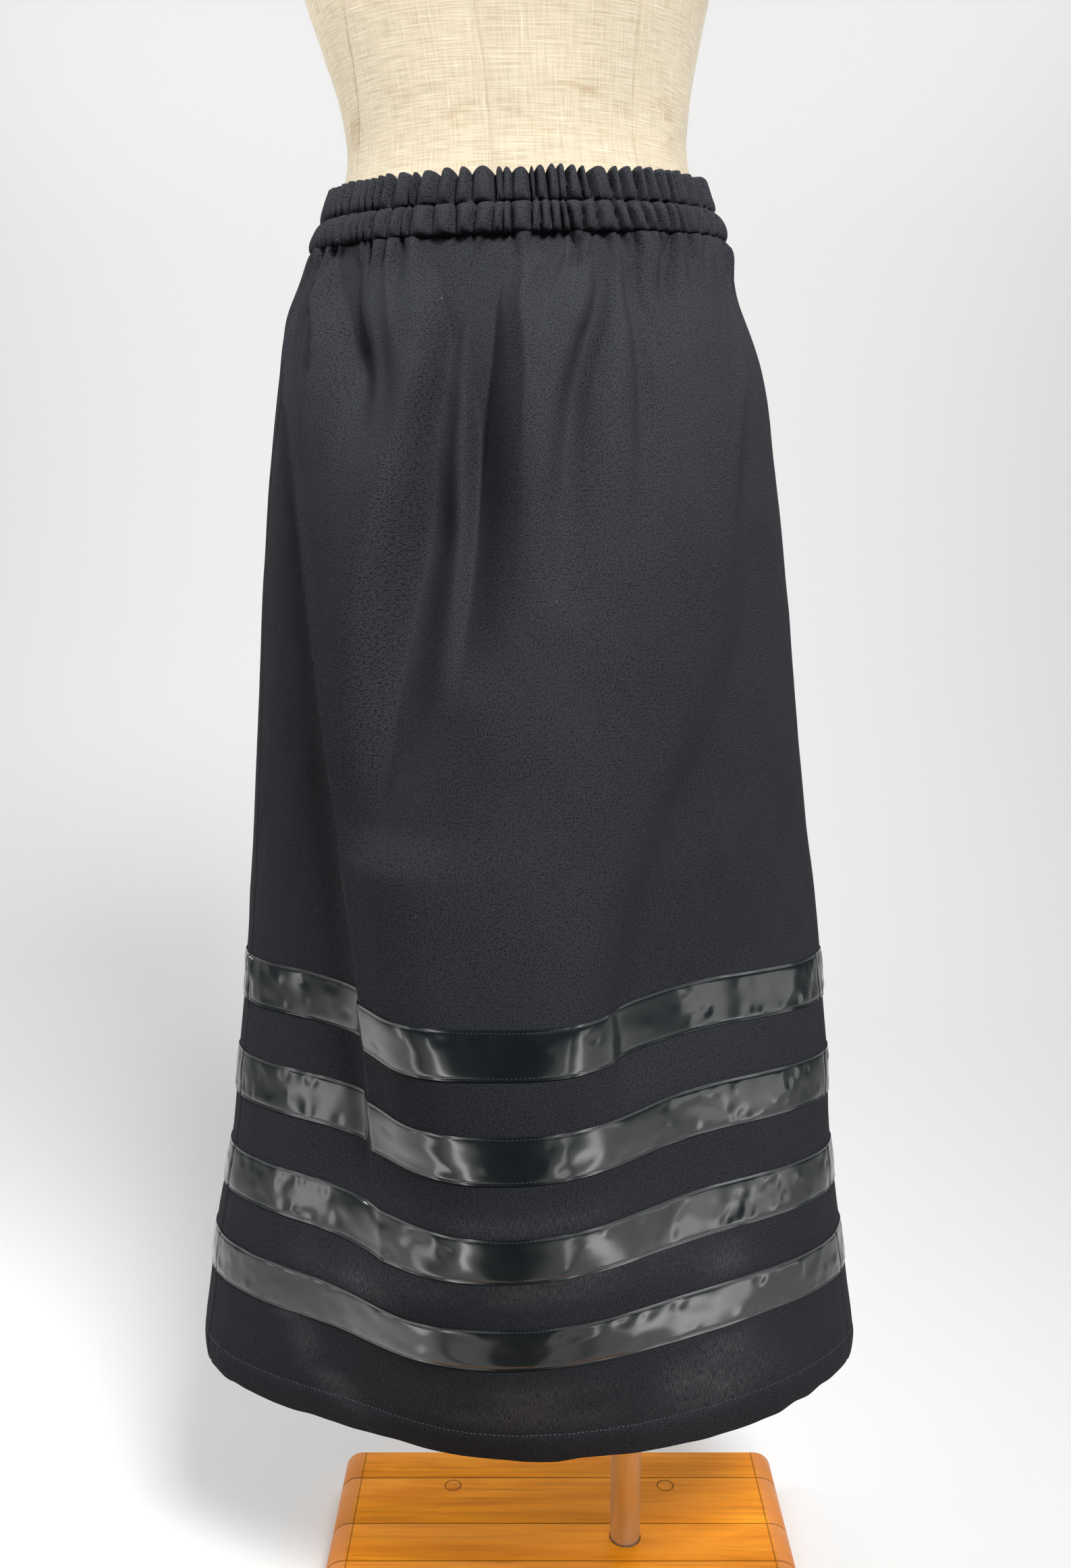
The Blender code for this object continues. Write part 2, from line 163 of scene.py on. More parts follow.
# Shader nodes: every input takes a socket to link, a colour or a number

def feed(tree, socket, value):
    if isinstance(value, bpy.types.NodeSocket):
        tree.links.new(value, socket)
    elif socket.type == "RGBA":
        socket.default_value = (*value, 1.0)
    else:
        socket.default_value = value


def addNode(tree, kind, inputs=None, **settings):
    made = tree.nodes.new(kind)
    for name, value in settings.items():
        setattr(made, name, value)
    for label, value in (inputs or {}).items():
        feed(tree, made.inputs[label], value)
    return made


def mathNode(tree, operation, *values):
    return addNode(tree, "ShaderNodeMath", dict(enumerate(values)), operation=operation).outputs[0]


def gapTo(tree, value, place):
    return mathNode(tree, "ABSOLUTE", mathNode(tree, "SUBTRACT", value, place))


def stretch(tree, vector, x, y, z=1.0):
    return addNode(tree, "ShaderNodeVectorMath", {0: vector, 1: (x, y, z)}, operation="MULTIPLY").outputs[0]


def splitVector(tree, vector):
    return addNode(tree, "ShaderNodeSeparateXYZ", {0: vector}).outputs


def noiseNode(tree, vector, scale, detail=2.0, roughness=0.5, distortion=0.0):
    inputs = {"Vector": vector, "Scale": scale, "Detail": detail, "Roughness": roughness,
              "Distortion": distortion}
    return addNode(tree, "ShaderNodeTexNoise", inputs).outputs["Fac"]


def mixColour(tree, share, first, second, blend="MIX"):
    inputs = {0: share, 6: first, 7: second}
    return addNode(tree, "ShaderNodeMix", inputs, data_type="RGBA", blend_type=blend).outputs[2]


def mapRange(tree, value, low, high, toLow=0.0, toHigh=1.0):
    inputs = {"Value": value, "From Min": low, "From Max": high, "To Min": toLow, "To Max": toHigh}
    return addNode(tree, "ShaderNodeMapRange", inputs, interpolation_type="SMOOTHSTEP").outputs["Result"]


def startGroup(name, inputs, outputs):  # an input without a number is a vector
    tree = bpy.data.node_groups.new(name, "ShaderNodeTree")
    for label, value in inputs.items():
        kind = "NodeSocketVector" if value is None else "NodeSocketFloat"
        socket = tree.interface.new_socket(name=label, in_out="INPUT", socket_type=kind)
        if value is not None:
            socket.default_value = value
    for label in outputs:
        tree.interface.new_socket(name=label, in_out="OUTPUT", socket_type="NodeSocketFloat")
    return tree, addNode(tree, "NodeGroupInput").outputs, addNode(tree, "NodeGroupOutput").inputs


def startMaterial(name):
    material = bpy.data.materials.new(name)
    material.use_nodes = True
    tree = material.node_tree
    return material, tree, tree.nodes["Principled BSDF"]


def setShader(tree, shader, **values):
    for label, value in values.items():
        feed(tree, shader.inputs[label.replace("_", " ")], value)


def groupNode(tree, group, vector, **values):
    return addNode(tree, "ShaderNodeGroup", {"Vector": vector, **values}, node_tree=group).outputs


def clothVector(tree):
    return addNode(tree, "ShaderNodeUVMap", uv_map="clothMetres").outputs["UV"]


def objectVector(tree):
    return addNode(tree, "ShaderNodeTexCoord").outputs["Object"]


def bumpOf(tree, height, strength, distance):
    inputs = {"Strength": strength, "Distance": distance, "Height": height}
    return addNode(tree, "ShaderNodeBump", inputs).outputs["Normal"]


# Camera, floor and light

cameraSet = {"place": (-0.024, -1.12, 0.98), "pitchDown": 9.68, "lens": 32.14, "filmWidth": 36.0}
lightSet = {
    "world": (0.96, 0.98, 1.0), "worldStrength": 0.07,
    # name: place, aim, width, height, watts, spread in degrees
    "boxes": {
        "key_box": ((0.80, -2.05, 2.95), (0.0, 0.0, 1.05), 0.8, 0.7, 33.0, 90),
        "left_box": ((-1.60, -1.50, 2.20), (-0.05, 0.0, 1.35), 0.6, 0.6, 3.8, 180),
        "left_panel": ((-0.95, -0.365, 0.37), (-0.2, -0.08, 0.42), 0.10, 0.40, 0.5, 180),
        "torso_box_left": ((-1.85, -0.80, 2.00), (-0.12, 0.0, 1.52), 0.5, 0.5, 2.0, 24),
        "torso_box_right": ((1.75, -0.50, 2.00), (0.04, 0.0, 1.52), 0.5, 0.5, 0.60, 24),
        "side_box": ((-2.00, 0.45, 1.20), (-0.28, 0.0, 0.75), 0.5, 0.8, 1.0, 40),
        "back_box": ((0.70, 2.30, 2.80), (0.0, 0.0, 1.05), 1.2, 1.0, 2.6, 60),
        "right_far_box": ((1.65, -0.65, 0.28), (0.1, -0.1, 0.50), 0.60, 0.55, 2.2, 180),
        "floor_box_left": ((-1.35, 0.15, 1.30), (-0.70, 0.08, 0.0), 0.8, 0.8, 1.9, 80),
        "wall_box_left": ((-1.6, 1.4, 3.3), (-0.9, 3.6, 0.9), 2.2, 1.0, 49.0, 180),
        "wall_box_right": ((1.6, 1.4, 3.3), (1.0, 3.6, 1.7), 2.2, 1.0, 49.0, 180),
    },
    "mirroredOnly": ("left_panel",),  # seen in the satin, but it doesn't light the matt cloth
    # strips of light that lie on the floor: bearing, start, length, width, watts
    "strips": {
        "left_strip": (-38, 0.42, 1.1, 0.08, 2.1), "left_far_strip": (-72, 0.36, 1.0, 0.10, 1.1),
        "right_strip": (50, 0.45, 1.0, 0.05, 0.8), "right_far_strip": (72, 0.55, 1.1, 0.14, 2.4),
    },
    "stripUp": 0.012,
}
paperSet = {
    "colour": (0.80, 0.80, 0.795), "roughness": 0.9, "shine": 0.1, "halfWidth": 6.0, "split": -0.22,
    "front": 3.0, "wallAway": 3.6, "wallRadius": 2.0, "wallTop": 4.5, "wallSteps": 24,
    # the near floor is cut in wedges: bearing in degrees where each starts, and whether the satin mirrors it
    "wedges": [(-90, True), (-66, False), (-56, True), (-24, False), (30, True), (52, False), (60, True)],
    "lastBearing": 90,
}

camera = bpy.data.objects.new("camera", bpy.data.cameras.new("camera"))
camera.location = cameraSet["place"]
camera.rotation_euler = (math.radians(90 - cameraSet["pitchDown"]), 0.0, 0.0)
camera.data.lens = cameraSet["lens"]
camera.data.sensor_width = cameraSet["filmWidth"]
bpy.context.scene.collection.objects.link(camera)
bpy.context.scene.camera = camera
bpy.context.scene.view_settings.view_transform = "Standard"


def makeWorld():
    world = bpy.data.worlds.new("studio")
    world.use_nodes = True
    light = world.node_tree.nodes["Background"]
    setShader(world.node_tree, light, Color=lightSet["world"], Strength=lightSet["worldStrength"])
    bpy.context.scene.world = world


def addLamp(name, width, height, watts, spread=180):
    lamp = bpy.data.lights.new(name, "AREA")
    lamp.shape = "RECTANGLE"
    lamp.size = width
    lamp.size_y = height
    lamp.energy = watts
    lamp.spread = math.radians(spread)
    box = bpy.data.objects.new(name, lamp)
    box.visible_camera = False
    bpy.context.scene.collection.objects.link(box)
    return box


def makeBoxes():
    for name, (place, aim, width, height, watts, spread) in lightSet["boxes"].items():
        box = addLamp(name, width, height, watts, spread)
        box.location = place
        heading = Vector(aim) - Vector(place)
        box.rotation_euler = heading.to_track_quat("-Z", "Y").to_euler()
        box.visible_diffuse = name not in lightSet["mirroredOnly"]


def onFloor(degrees, away, up=0.0):  # a place so far from the paper's split; 0 degrees is straight in front
    angle = math.radians(degrees)
    return away * math.sin(angle), paperSet["split"] - away * math.cos(angle), up


def makeStrips():
    for name, (bearing, start, length, width, watts) in lightSet["strips"].items():
        strip = addLamp(name, width, length, watts)
        strip.location = onFloor(bearing, start + length / 2, lightSet["stripUp"])
        strip.rotation_euler = (math.pi, 0.0, math.radians(bearing))
        strip.visible_diffuse = False


def sheetOfPaper(name, points, faces, paper):
    sheet = meshPiece(name, points, faces, paper, sharpAngle=80)
    return sheet


def makeFloor():
    p = paperSet
    bend = p["wallAway"] - p["wallRadius"]
    profile = [(p["split"], 0.0), (bend, 0.0)]
    for step in range(1, p["wallSteps"] + 1):
        angle = math.pi / 2 * step / p["wallSteps"]
        profile.append((bend + p["wallRadius"] * math.sin(angle),
                        p["wallRadius"] * (1 - math.cos(angle))))
    profile.append((p["wallAway"], p["wallTop"]))
    paper, tree, shader = startMaterial("paper_floor")
    setShader(tree, shader, Base_Color=p["colour"], Roughness=p["roughness"], Specular_IOR_Level=p["shine"])
    points = [(x, y, z) for y, z in profile for x in (-p["halfWidth"], p["halfWidth"])]
    faces = [(2 * i, 2 * i + 1, 2 * i + 3, 2 * i + 2) for i in range(len(profile) - 1)]
    sheetOfPaper("paper_floor", points, faces, paper)
    bearings = [bearing for bearing, mirrored in p["wedges"]] + [p["lastBearing"]]
    for number, (bearing, mirrored) in enumerate(p["wedges"]):
        corners = [onFloor(0, 0), onFloor(bearing, p["front"]), onFloor(bearings[number + 1], p["front"])]
        wedge = sheetOfPaper(f"paper_wedge_{number}", corners, [(0, 1, 2)], paper)
        wedge.visible_glossy = mirrored  # the rest of the room in front is dark in the satin
        wedge.visible_diffuse = False  # little light comes back up on the lower cloth


makeWorld()
makeBoxes()
makeStrips()
makeFloor()
print("camera, floor and light made")


# Shader groups and materials

def makeThreadsGroup():  # crossing threads of uneven thickness, and the cloudiness of a whole cloth
    tree, start, end = startGroup(
        "threads", {"Vector": None, "Across": 900.0, "Along": 900.0, "Slub": 40.0, "Cloud": 9.0},
        ("Weft", "Warp", "Cloud", "Height"))
    x, y, _ = splitVector(tree, start["Vector"])

    def threadNoise(short, long, count):
        joined = addNode(tree, "ShaderNodeCombineXYZ", {0: mathNode(tree, "MULTIPLY", short, start["Slub"]),
                                                        1: mathNode(tree, "MULTIPLY", long, count)})
        return noiseNode(tree, joined.outputs[0], 1.0, 3.0, 0.6)

    weft = threadNoise(x, y, start["Across"])
    warp = threadNoise(y, x, start["Along"])
    feed(tree, end["Weft"], weft)
    feed(tree, end["Warp"], warp)
    feed(tree, end["Cloud"], noiseNode(tree, start["Vector"], start["Cloud"], 4.0))
    feed(tree, end["Height"], mathNode(tree, "ADD", weft, warp))
    return tree


def makeWoodGroup():  # long figure, fine pores and slow clouds along X
    tree, start, end = startGroup(
        "plankFigure", {"Vector": None, "Figure": 26.0}, ("Figure", "Pores", "Cloud"))
    vector = start["Vector"]
    figure = noiseNode(tree, stretch(tree, vector, 0.12, 1.0), start["Figure"], 6.0, 0.62, 0.6)
    feed(tree, end["Figure"], figure)
    feed(tree, end["Pores"], noiseNode(tree, stretch(tree, vector, 55.0, 900.0, 900.0), 1.0, 2.0, 0.6))
    feed(tree, end["Cloud"], noiseNode(tree, stretch(tree, vector, 4.0, 12.0, 12.0), 1.0, 3.0, 0.5, 0.4))
    return tree


threads = makeThreadsGroup()
plankFigure = makeWoodGroup()

crepeLook = {
    "dark": (0.0062, 0.0066, 0.0080), "light": (0.036, 0.0375, 0.044), "lint": (0.22, 0.22, 0.23),
    "threads": {"Across": 1500.0, "Along": 1900.0, "Slub": 160.0, "Cloud": 16.0},
    "twillPitch": 0.0013, "twillTurn": 52, "twillWaver": 1.2,
    # how much each pattern tells in the colour, and the sums at which it is dark and light
    "weave": 0.40, "twill": 0.22, "cloud": 0.16, "grain": 0.78, "darkToLight": (0.58, 1.12),
    "grainFine": 780.0, "grainRange": (0.28, 0.72), "lintFine": 46.0, "lintRange": (0.012, 0.022, 0.8, 0.0),
    "streaks": (900.0, 130.0), "roughRange": (0.55, 0.75, 0.86, 0.60), "shine": 0.08,
    "scratches": (1300.0, 150.0), "scratchRange": (0.35, 0.65), "ironedRough": -0.42, "ironedShine": 0.50,
    "twillBump": 0.5, "bump": (0.55, 0.00022),
}


def makeCrepe():  # matt black crepe with a fine slanting twill and a slightly shiny thread here and there
    look = crepeLook
    material, tree, shader = startMaterial("black_crepe")
    vector = clothVector(tree)
    weave = groupNode(tree, threads, vector, **look["threads"])
    turned = addNode(tree, "ShaderNodeMapping",
                     {"Vector": vector, "Rotation": (0.0, 0.0, math.radians(look["twillTurn"]))})
    twill = addNode(tree, "ShaderNodeTexWave",
                    {"Vector": turned.outputs[0], "Scale": math.pi / 10 / look["twillPitch"],
                     "Distortion": look["twillWaver"]}, wave_type="BANDS", bands_direction="X").outputs["Fac"]
    fine = stretch(tree, vector, look["grainFine"], look["grainFine"])
    grain = mapRange(tree, noiseNode(tree, fine, 1.0, 3.0, 0.8), *look["grainRange"])
    share = mathNode(tree, "MULTIPLY", weave["Height"], look["weave"])
    for pattern, name in ((twill, "twill"), (weave["Cloud"], "cloud"), (grain, "grain")):
        share = mathNode(tree, "MULTIPLY_ADD", pattern, look[name], share)
    colour = mixColour(tree, mapRange(tree, share, *look["darkToLight"]), look["dark"], look["light"])
    lint = addNode(tree, "ShaderNodeTexVoronoi", {"Vector": vector, "Scale": look["lintFine"]})
    speck = mapRange(tree, lint.outputs["Distance"], *look["lintRange"])
    streak = noiseNode(tree, stretch(tree, vector, *look["streaks"]), 1.0, 2.0, 0.6)
    rough = mapRange(tree, streak, *look["roughRange"])
    pressed = addNode(tree, "ShaderNodeAttribute", attribute_name="pressed").outputs["Fac"]
    scratch = noiseNode(tree, stretch(tree, vector, *look["scratches"]), 1.0, 4.0, 0.75)
    ironed = mathNode(tree, "MULTIPLY", pressed, mapRange(tree, scratch, *look["scratchRange"]))
    height = mathNode(tree, "MULTIPLY_ADD", twill, look["twillBump"], weave["Height"])
    setShader(tree, shader, Base_Color=mixColour(tree, speck, colour, look["lint"]),
              Roughness=mathNode(tree, "MULTIPLY_ADD", ironed, look["ironedRough"], rough),
              Specular_IOR_Level=mathNode(tree, "MULTIPLY_ADD", ironed, look["ironedShine"], look["shine"]),
              Normal=bumpOf(tree, height, *look["bump"]))
    return material


satinLook = {
    "dark": (0.003, 0.0060, 0.0072), "light": (0.007, 0.0110, 0.0125),
    "threads": {"Across": 700.0, "Along": 2600.0, "Slub": 30.0, "Cloud": 40.0},
    "roughRange": (0.35, 0.65, 0.36, 0.46), "shine": 0.15, "coat": 1.0, "coatRough": 0.17,
    "bump": (0.25, 0.00012),
}


def makeSatin():  # slippery black satin: fine weft, long smooth shine
    look = satinLook
    material, tree, shader = startMaterial("black_satin")
    weave = groupNode(tree, threads, clothVector(tree), **look["threads"])
    setShader(tree, shader, Base_Color=mixColour(tree, weave["Cloud"], look["dark"], look["light"]),
              Roughness=mapRange(tree, weave["Cloud"], *look["roughRange"]), Specular_IOR_Level=look["shine"],
              Coat_Weight=look["coat"], Coat_Roughness=look["coatRough"],
              Normal=bumpOf(tree, weave["Height"], *look["bump"]))
    return material


threadLook = {"black": (0.030, 0.031, 0.034), "grey": (0.16, 0.16, 0.165), "twist": (900.0, 900.0, 900.0),
              "darker": 0.5, "roughness": 0.55, "bump": (0.4, 0.0001)}


def makeThread(name, colour):
    look = threadLook
    material, tree, shader = startMaterial(name)
    twist = noiseNode(tree, stretch(tree, objectVector(tree), *look["twist"]), 1.0)
    darker = tuple(look["darker"] * part for part in colour)
    setShader(tree, shader, Base_Color=mixColour(tree, twist, darker, colour), Roughness=look["roughness"],
              Normal=bumpOf(tree, twist, *look["bump"]))
    return material


linenLook = {
    "gap": (0.420, 0.350, 0.240), "thread": (0.55, 0.480, 0.360), "slub": (0.66, 0.61, 0.50),
    "threads": {"Across": 900.0, "Along": 620.0, "Slub": 38.0, "Cloud": 14.0}, "weft": 0.62, "warp": 0.38,
    "threadRange": (0.34, 0.60), "weftSlubs": (0.60, 0.70, 0.0, 0.7), "warpSlubs": (0.64, 0.74, 0.0, 0.7),
    "cloudRange": (0.3, 0.7, 0.90, 1.0), "roughness": 0.88, "shine": 0.25, "sheen": 0.12, "sheenRough": 0.5,
    # old stains in a belt round the waist, in blotches
    "stain": (0.60, 0.38, 0.16), "stainLow": (1.256, 1.266), "stainHigh": (1.288, 1.298, 1.0, 0.0),
    "blotches": (26.0, 60.0), "blotchRange": (0.52, 0.70, 0.0, 0.35), "bump": (0.5, 0.0003),
}


def makeLinen():  # natural linen: uneven threads both ways, pale slubs, a few old waist stains
    look = linenLook
    material, tree, shader = startMaterial("natural_linen")
    vector = clothVector(tree)
    weave = groupNode(tree, threads, vector, **look["threads"])
    share = mathNode(tree, "MULTIPLY", weave["Warp"], look["warp"])
    share = mathNode(tree, "MULTIPLY_ADD", weave["Weft"], look["weft"], share)
    colour = mixColour(tree, mapRange(tree, share, *look["threadRange"]), look["gap"], look["thread"])
    for thread, slubs in (("Weft", "weftSlubs"), ("Warp", "warpSlubs")):
        colour = mixColour(tree, mapRange(tree, weave[thread], *look[slubs]), colour, look["slub"])
    up = splitVector(tree, vector)[1]
    low = mapRange(tree, up, *look["stainLow"])
    high = mapRange(tree, up, *look["stainHigh"])
    blotch = noiseNode(tree, stretch(tree, vector, *look["blotches"]), 1.0, 3.0)
    patch = mapRange(tree, blotch, *look["blotchRange"])
    stained = mathNode(tree, "MULTIPLY", mathNode(tree, "MULTIPLY", low, high), patch)
    colour = mixColour(tree, stained, colour, look["stain"], "MULTIPLY")
    cloud = mapRange(tree, weave["Cloud"], *look["cloudRange"])
    greyed = addNode(tree, "ShaderNodeCombineColor", {0: cloud, 1: cloud, 2: cloud})
    setShader(tree, shader, Base_Color=mixColour(tree, 1.0, colour, greyed.outputs[0], "MULTIPLY"),
              Roughness=look["roughness"], Specular_IOR_Level=look["shine"], Sheen_Weight=look["sheen"],
              Sheen_Roughness=look["sheenRough"], Normal=bumpOf(tree, weave["Height"], *look["bump"]))
    return material


steelLook = {"dark": (0.66, 0.645, 0.62), "light": (0.80, 0.78, 0.75), "metal": 0.72,
             "brushed": (1400.0, 1400.0, 9.0), "clouds": (30.0, 30.0, 12.0),
             "roughRange": (0.3, 0.7, 0.28, 0.36), "bump": (0.15, 0.00005)}


def makeSteel():  # stainless tube brushed along its length
    look = steelLook
    material, tree, shader = startMaterial("brushed_steel")
    vector = objectVector(tree)
    brush = noiseNode(tree, stretch(tree, vector, *look["brushed"]), 1.0, 3.0, 0.6)
    cloud = noiseNode(tree, stretch(tree, vector, *look["clouds"]), 1.0, 3.0)
    setShader(tree, shader, Base_Color=mixColour(tree, brush, look["dark"], look["light"]),
              Metallic=look["metal"], Roughness=mapRange(tree, cloud, *look["roughRange"]),
              Normal=bumpOf(tree, brush, *look["bump"]))
    return material


baseSet = {
    "width": 0.445, "depth": 0.426, "thick": 0.040, "endRound": 0.018, "roundSteps": 12, "ease": 0.0007,
    "easeSteps": 2, "jointGap": 0.0003,
    "joints": [-0.145, -0.078, -0.012, 0.053, 0.104, 0.172],
    "poleHole": 0.0151, "poleFloor": 0.0100, "holeOver": 0.010, "holeSides": 72,
    "plugRadius": 0.0078, "plugHole": 0.0081, "plugDeep": 0.008, "plugEase": 0.0004, "plugSides": 48,
    "plugs": {"back_left": (-0.1075, 0.160), "back_right": (0.1075, 0.160),
              "front_left": (-0.1075, -0.160), "front_right": (0.1075, -0.160)},
}

woodLook = {
    "base_wood": {"light": (0.94, 0.345, 0.014), "dark": (0.72, 0.222, 0.008), "pore": (0.36, 0.090, 0.005),
                  "end": (0.64, 0.235, 0.068), "figure": 26.0},
    "plug_wood": {"light": (0.84, 0.290, 0.013), "dark": (0.62, 0.180, 0.008), "pore": (0.30, 0.075, 0.005),
                  "end": (0.62, 0.220, 0.060), "figure": 60.0},
    # where each pattern of a board starts and where it is full, and its share and colour
    "layers": {"Figure": (0.35, 0.68, 0.0, 1.0, "dark"), "Cloud": (0.40, 0.75, 0.0, 0.45, "dark"),
               "Pores": (0.66, 0.78, 0.0, 0.6, "pore"), "Lines": (0.46, 0.74, 0.0, 0.50, "pore")},
    "lines": (7.0, 230.0, 230.0), "endRange": (0.2015, 0.2060, 0.0, 0.8),
    "line": (0.10, 0.028, 0.004), "lineRange": (0.0004, 0.0011, 0.60, 0.0),
    "roughRange": (0.3, 0.7, 0.30, 0.42), "shine": 0.08, "poreBump": -0.4, "bump": (0.12, 0.0004),
}


def darkLines(tree, x, y):  # dirt and glue in the joints, round the plugs and where the ends turn over
    plugX, plugY = baseSet["plugs"]["back_right"]
    across = mathNode(tree, "POWER", mathNode(tree, "SUBTRACT", x, plugX), 2.0)
    along = mathNode(tree, "SUBTRACT", mathNode(tree, "ABSOLUTE", y), plugY)
    ring = mathNode(tree, "SQRT", mathNode(tree, "ADD", across, mathNode(tree, "POWER", along, 2.0)))
    nearest = gapTo(tree, ring, baseSet["plugHole"])
    nearest = mathNode(tree, "MINIMUM", nearest, gapTo(tree, x, woodLook["endRange"][0]))
    for joint in baseSet["joints"]:
        nearest = mathNode(tree, "MINIMUM", nearest, gapTo(tree, y, joint))
    return mapRange(tree, nearest, *woodLook["lineRange"])


def makeWood(name, look):  # golden varnished boards, browner where the sawn ends are rounded over
    material, tree, shader = startMaterial(name)
    vector = objectVector(tree)
    wood = groupNode(tree, plankFigure, vector, Figure=look["figure"])
    patterns = {pattern: wood[pattern] for pattern in ("Figure", "Cloud", "Pores")}
    patterns["Lines"] = noiseNode(tree, stretch(tree, vector, *woodLook["lines"]), 1.0, 4.0, 0.7)
    colour = look["light"]
    for pattern, (*limits, tint) in woodLook["layers"].items():
        colour = mixColour(tree, mapRange(tree, patterns[pattern], *limits), colour, look[tint])
    x, y, _ = splitVector(tree, vector)
    x = mathNode(tree, "ABSOLUTE", x)
    colour = mixColour(tree, mapRange(tree, x, *woodLook["endRange"]), colour, look["end"])
    colour = mixColour(tree, darkLines(tree, x, y), colour, woodLook["line"])
    height = mathNode(tree, "MULTIPLY_ADD", wood["Pores"], woodLook["poreBump"], wood["Figure"])
    setShader(tree, shader, Base_Color=colour, Specular_IOR_Level=woodLook["shine"],
              Roughness=mapRange(tree, wood["Figure"], *woodLook["roughRange"]),
              Normal=bumpOf(tree, height, *woodLook["bump"]))
    return material


crepe = makeCrepe()
satin = makeSatin()
linen = makeLinen()
steel = makeSteel()
boardWood = makeWood("varnished_pine", woodLook["base_wood"])
plugWood = makeWood("plug_pine", woodLook["plug_wood"])
blackThread = makeThread("black_thread", threadLook["black"])
greyThread = makeThread("grey_thread", threadLook["grey"])
print("materials made")


# Shape of the form and the skirt; turn is 0 at the left, 0.25 in front, 0.5 right, 0.75 behind

formShape = {
    "height": [0.930, 0.960, 1.010, 1.060, 1.110, 1.150, 1.190, 1.210, 1.230, 1.250, 1.272, 1.305,
               1.340, 1.380, 1.430, 1.480, 1.530, 1.580, 1.620, 1.648, 1.668, 1.686, 1.706, 1.760],
    "halfWidth": [0.160, 0.168, 0.172, 0.171, 0.167, 0.161, 0.1515, 0.1440, 0.1355, 0.1290, 0.1270, 0.1310,
                  0.1395, 0.1500, 0.1570, 0.1600, 0.1620, 0.1670, 0.1690, 0.1560, 0.1230, 0.0830,
                  0.0600, 0.0550],
    "front": [0.100, 0.107, 0.113, 0.116, 0.116, 0.113, 0.109, 0.106, 0.102, 0.099, 0.097, 0.099,
              0.103, 0.110, 0.124, 0.133, 0.124, 0.103, 0.083, 0.067, 0.057, 0.051, 0.049, 0.048],
    "back": [0.136, 0.143, 0.147, 0.145, 0.135, 0.123, 0.112, 0.107, 0.102, 0.099, 0.098, 0.100,
             0.103, 0.105, 0.104, 0.105, 0.109, 0.111, 0.103, 0.089, 0.075, 0.063, 0.055, 0.051],
    "centreX": [-0.0360] * 4 + [-0.0355, -0.0350, -0.0350, -0.0355, -0.0360, -0.0370, -0.0380, -0.0400,
                                -0.0425] + [-0.0450] * 11,
    "squareness": 2.2,
}

skirtShape = {
    "height": [0.284, 0.412, 0.491, 0.573, 0.654, 0.760, 0.850, 0.940, 1.030, 1.100, 1.150, 1.190],
    "halfWidth": [0.2860, 0.2665, 0.2525, 0.2440, 0.2365, 0.2240, 0.2150, 0.2065, 0.1965, 0.1860,
                  0.1735, 0.1590],
    "centreX": [-0.0300, -0.0300, -0.0280, -0.0255, -0.0260, -0.0285, -0.0305, -0.0320, -0.0340, -0.0350,
                -0.0392, -0.0383],
    "sideY": [0.012, 0.008, 0.0, 0.0, 0.0, 0.0, 0.0, 0.0, 0.0, 0.0, 0.0, 0.0],
    "belly": [0.117, 0.128, 0.110, 0.106, 0.100, 0.110, 0.122, 0.134, 0.143, 0.142, 0.134, 0.120],
    "nose": [0.042, 0.060, 0.085, 0.098, 0.110, 0.098, 0.082, 0.060, 0.034, 0.014, 0.004, 0.0],
    "noseLeft": [-0.104, -0.118, -0.109, -0.114, -0.125, -0.132, -0.140, -0.150, -0.158, -0.160,
                 -0.160, -0.150],
    "leftRun": [0.036, 0.023, 0.023, 0.018, 0.016, 0.016, 0.018, 0.022, 0.028, 0.030, 0.030, 0.030],
    "noseRight": [0.125, 0.090, 0.080, 0.078, 0.076, 0.090, 0.104, 0.120, 0.136, 0.146, 0.150, 0.150],
    "rightRun": [0.050, 0.036, 0.033, 0.027, 0.023, 0.032, 0.040, 0.044, 0.044, 0.040, 0.036, 0.036],
    "back": [0.146, 0.158, 0.164, 0.168, 0.170, 0.170, 0.169, 0.168, 0.166, 0.156, 0.140, 0.122],
    "hem": 0.284, "bandBottom": 1.190, "tiltAcross": 0.0285, "tiltBack": 0.0875, "tiltEnd": 1.000,
    "hemLift": 0.010, "hemLiftPower": 6, "hemLiftFade": 0.060, "topBlend": 0.055,
    "leftSeam": 4 / 96, "rightSeam": 44 / 96,
    "seamTurn": 0.00011, "outlineStep": 0.002, "uvGirth": 1.3, "uvInside": 0.5,
    "seamDip": 0.0009, "seamHalf": 0.0016, "seamGirth": 1.2,
    # just under the band the folds start shallow and the cloth puffs out a little
    "heldShare": 0.64, "heldLong": 0.006, "puff": 0.0022, "puffLong": 0.005, "bandGap": 0.0003,
    "waistClear": 0.0012, "formClear": 0.0013,
    # soft unevenness: hills round the skirt, hills to a metre upwards, height, seed
    "hills": [(26, 14, 0.0012, 3), (90, 40, 0.00035, 4)],
}

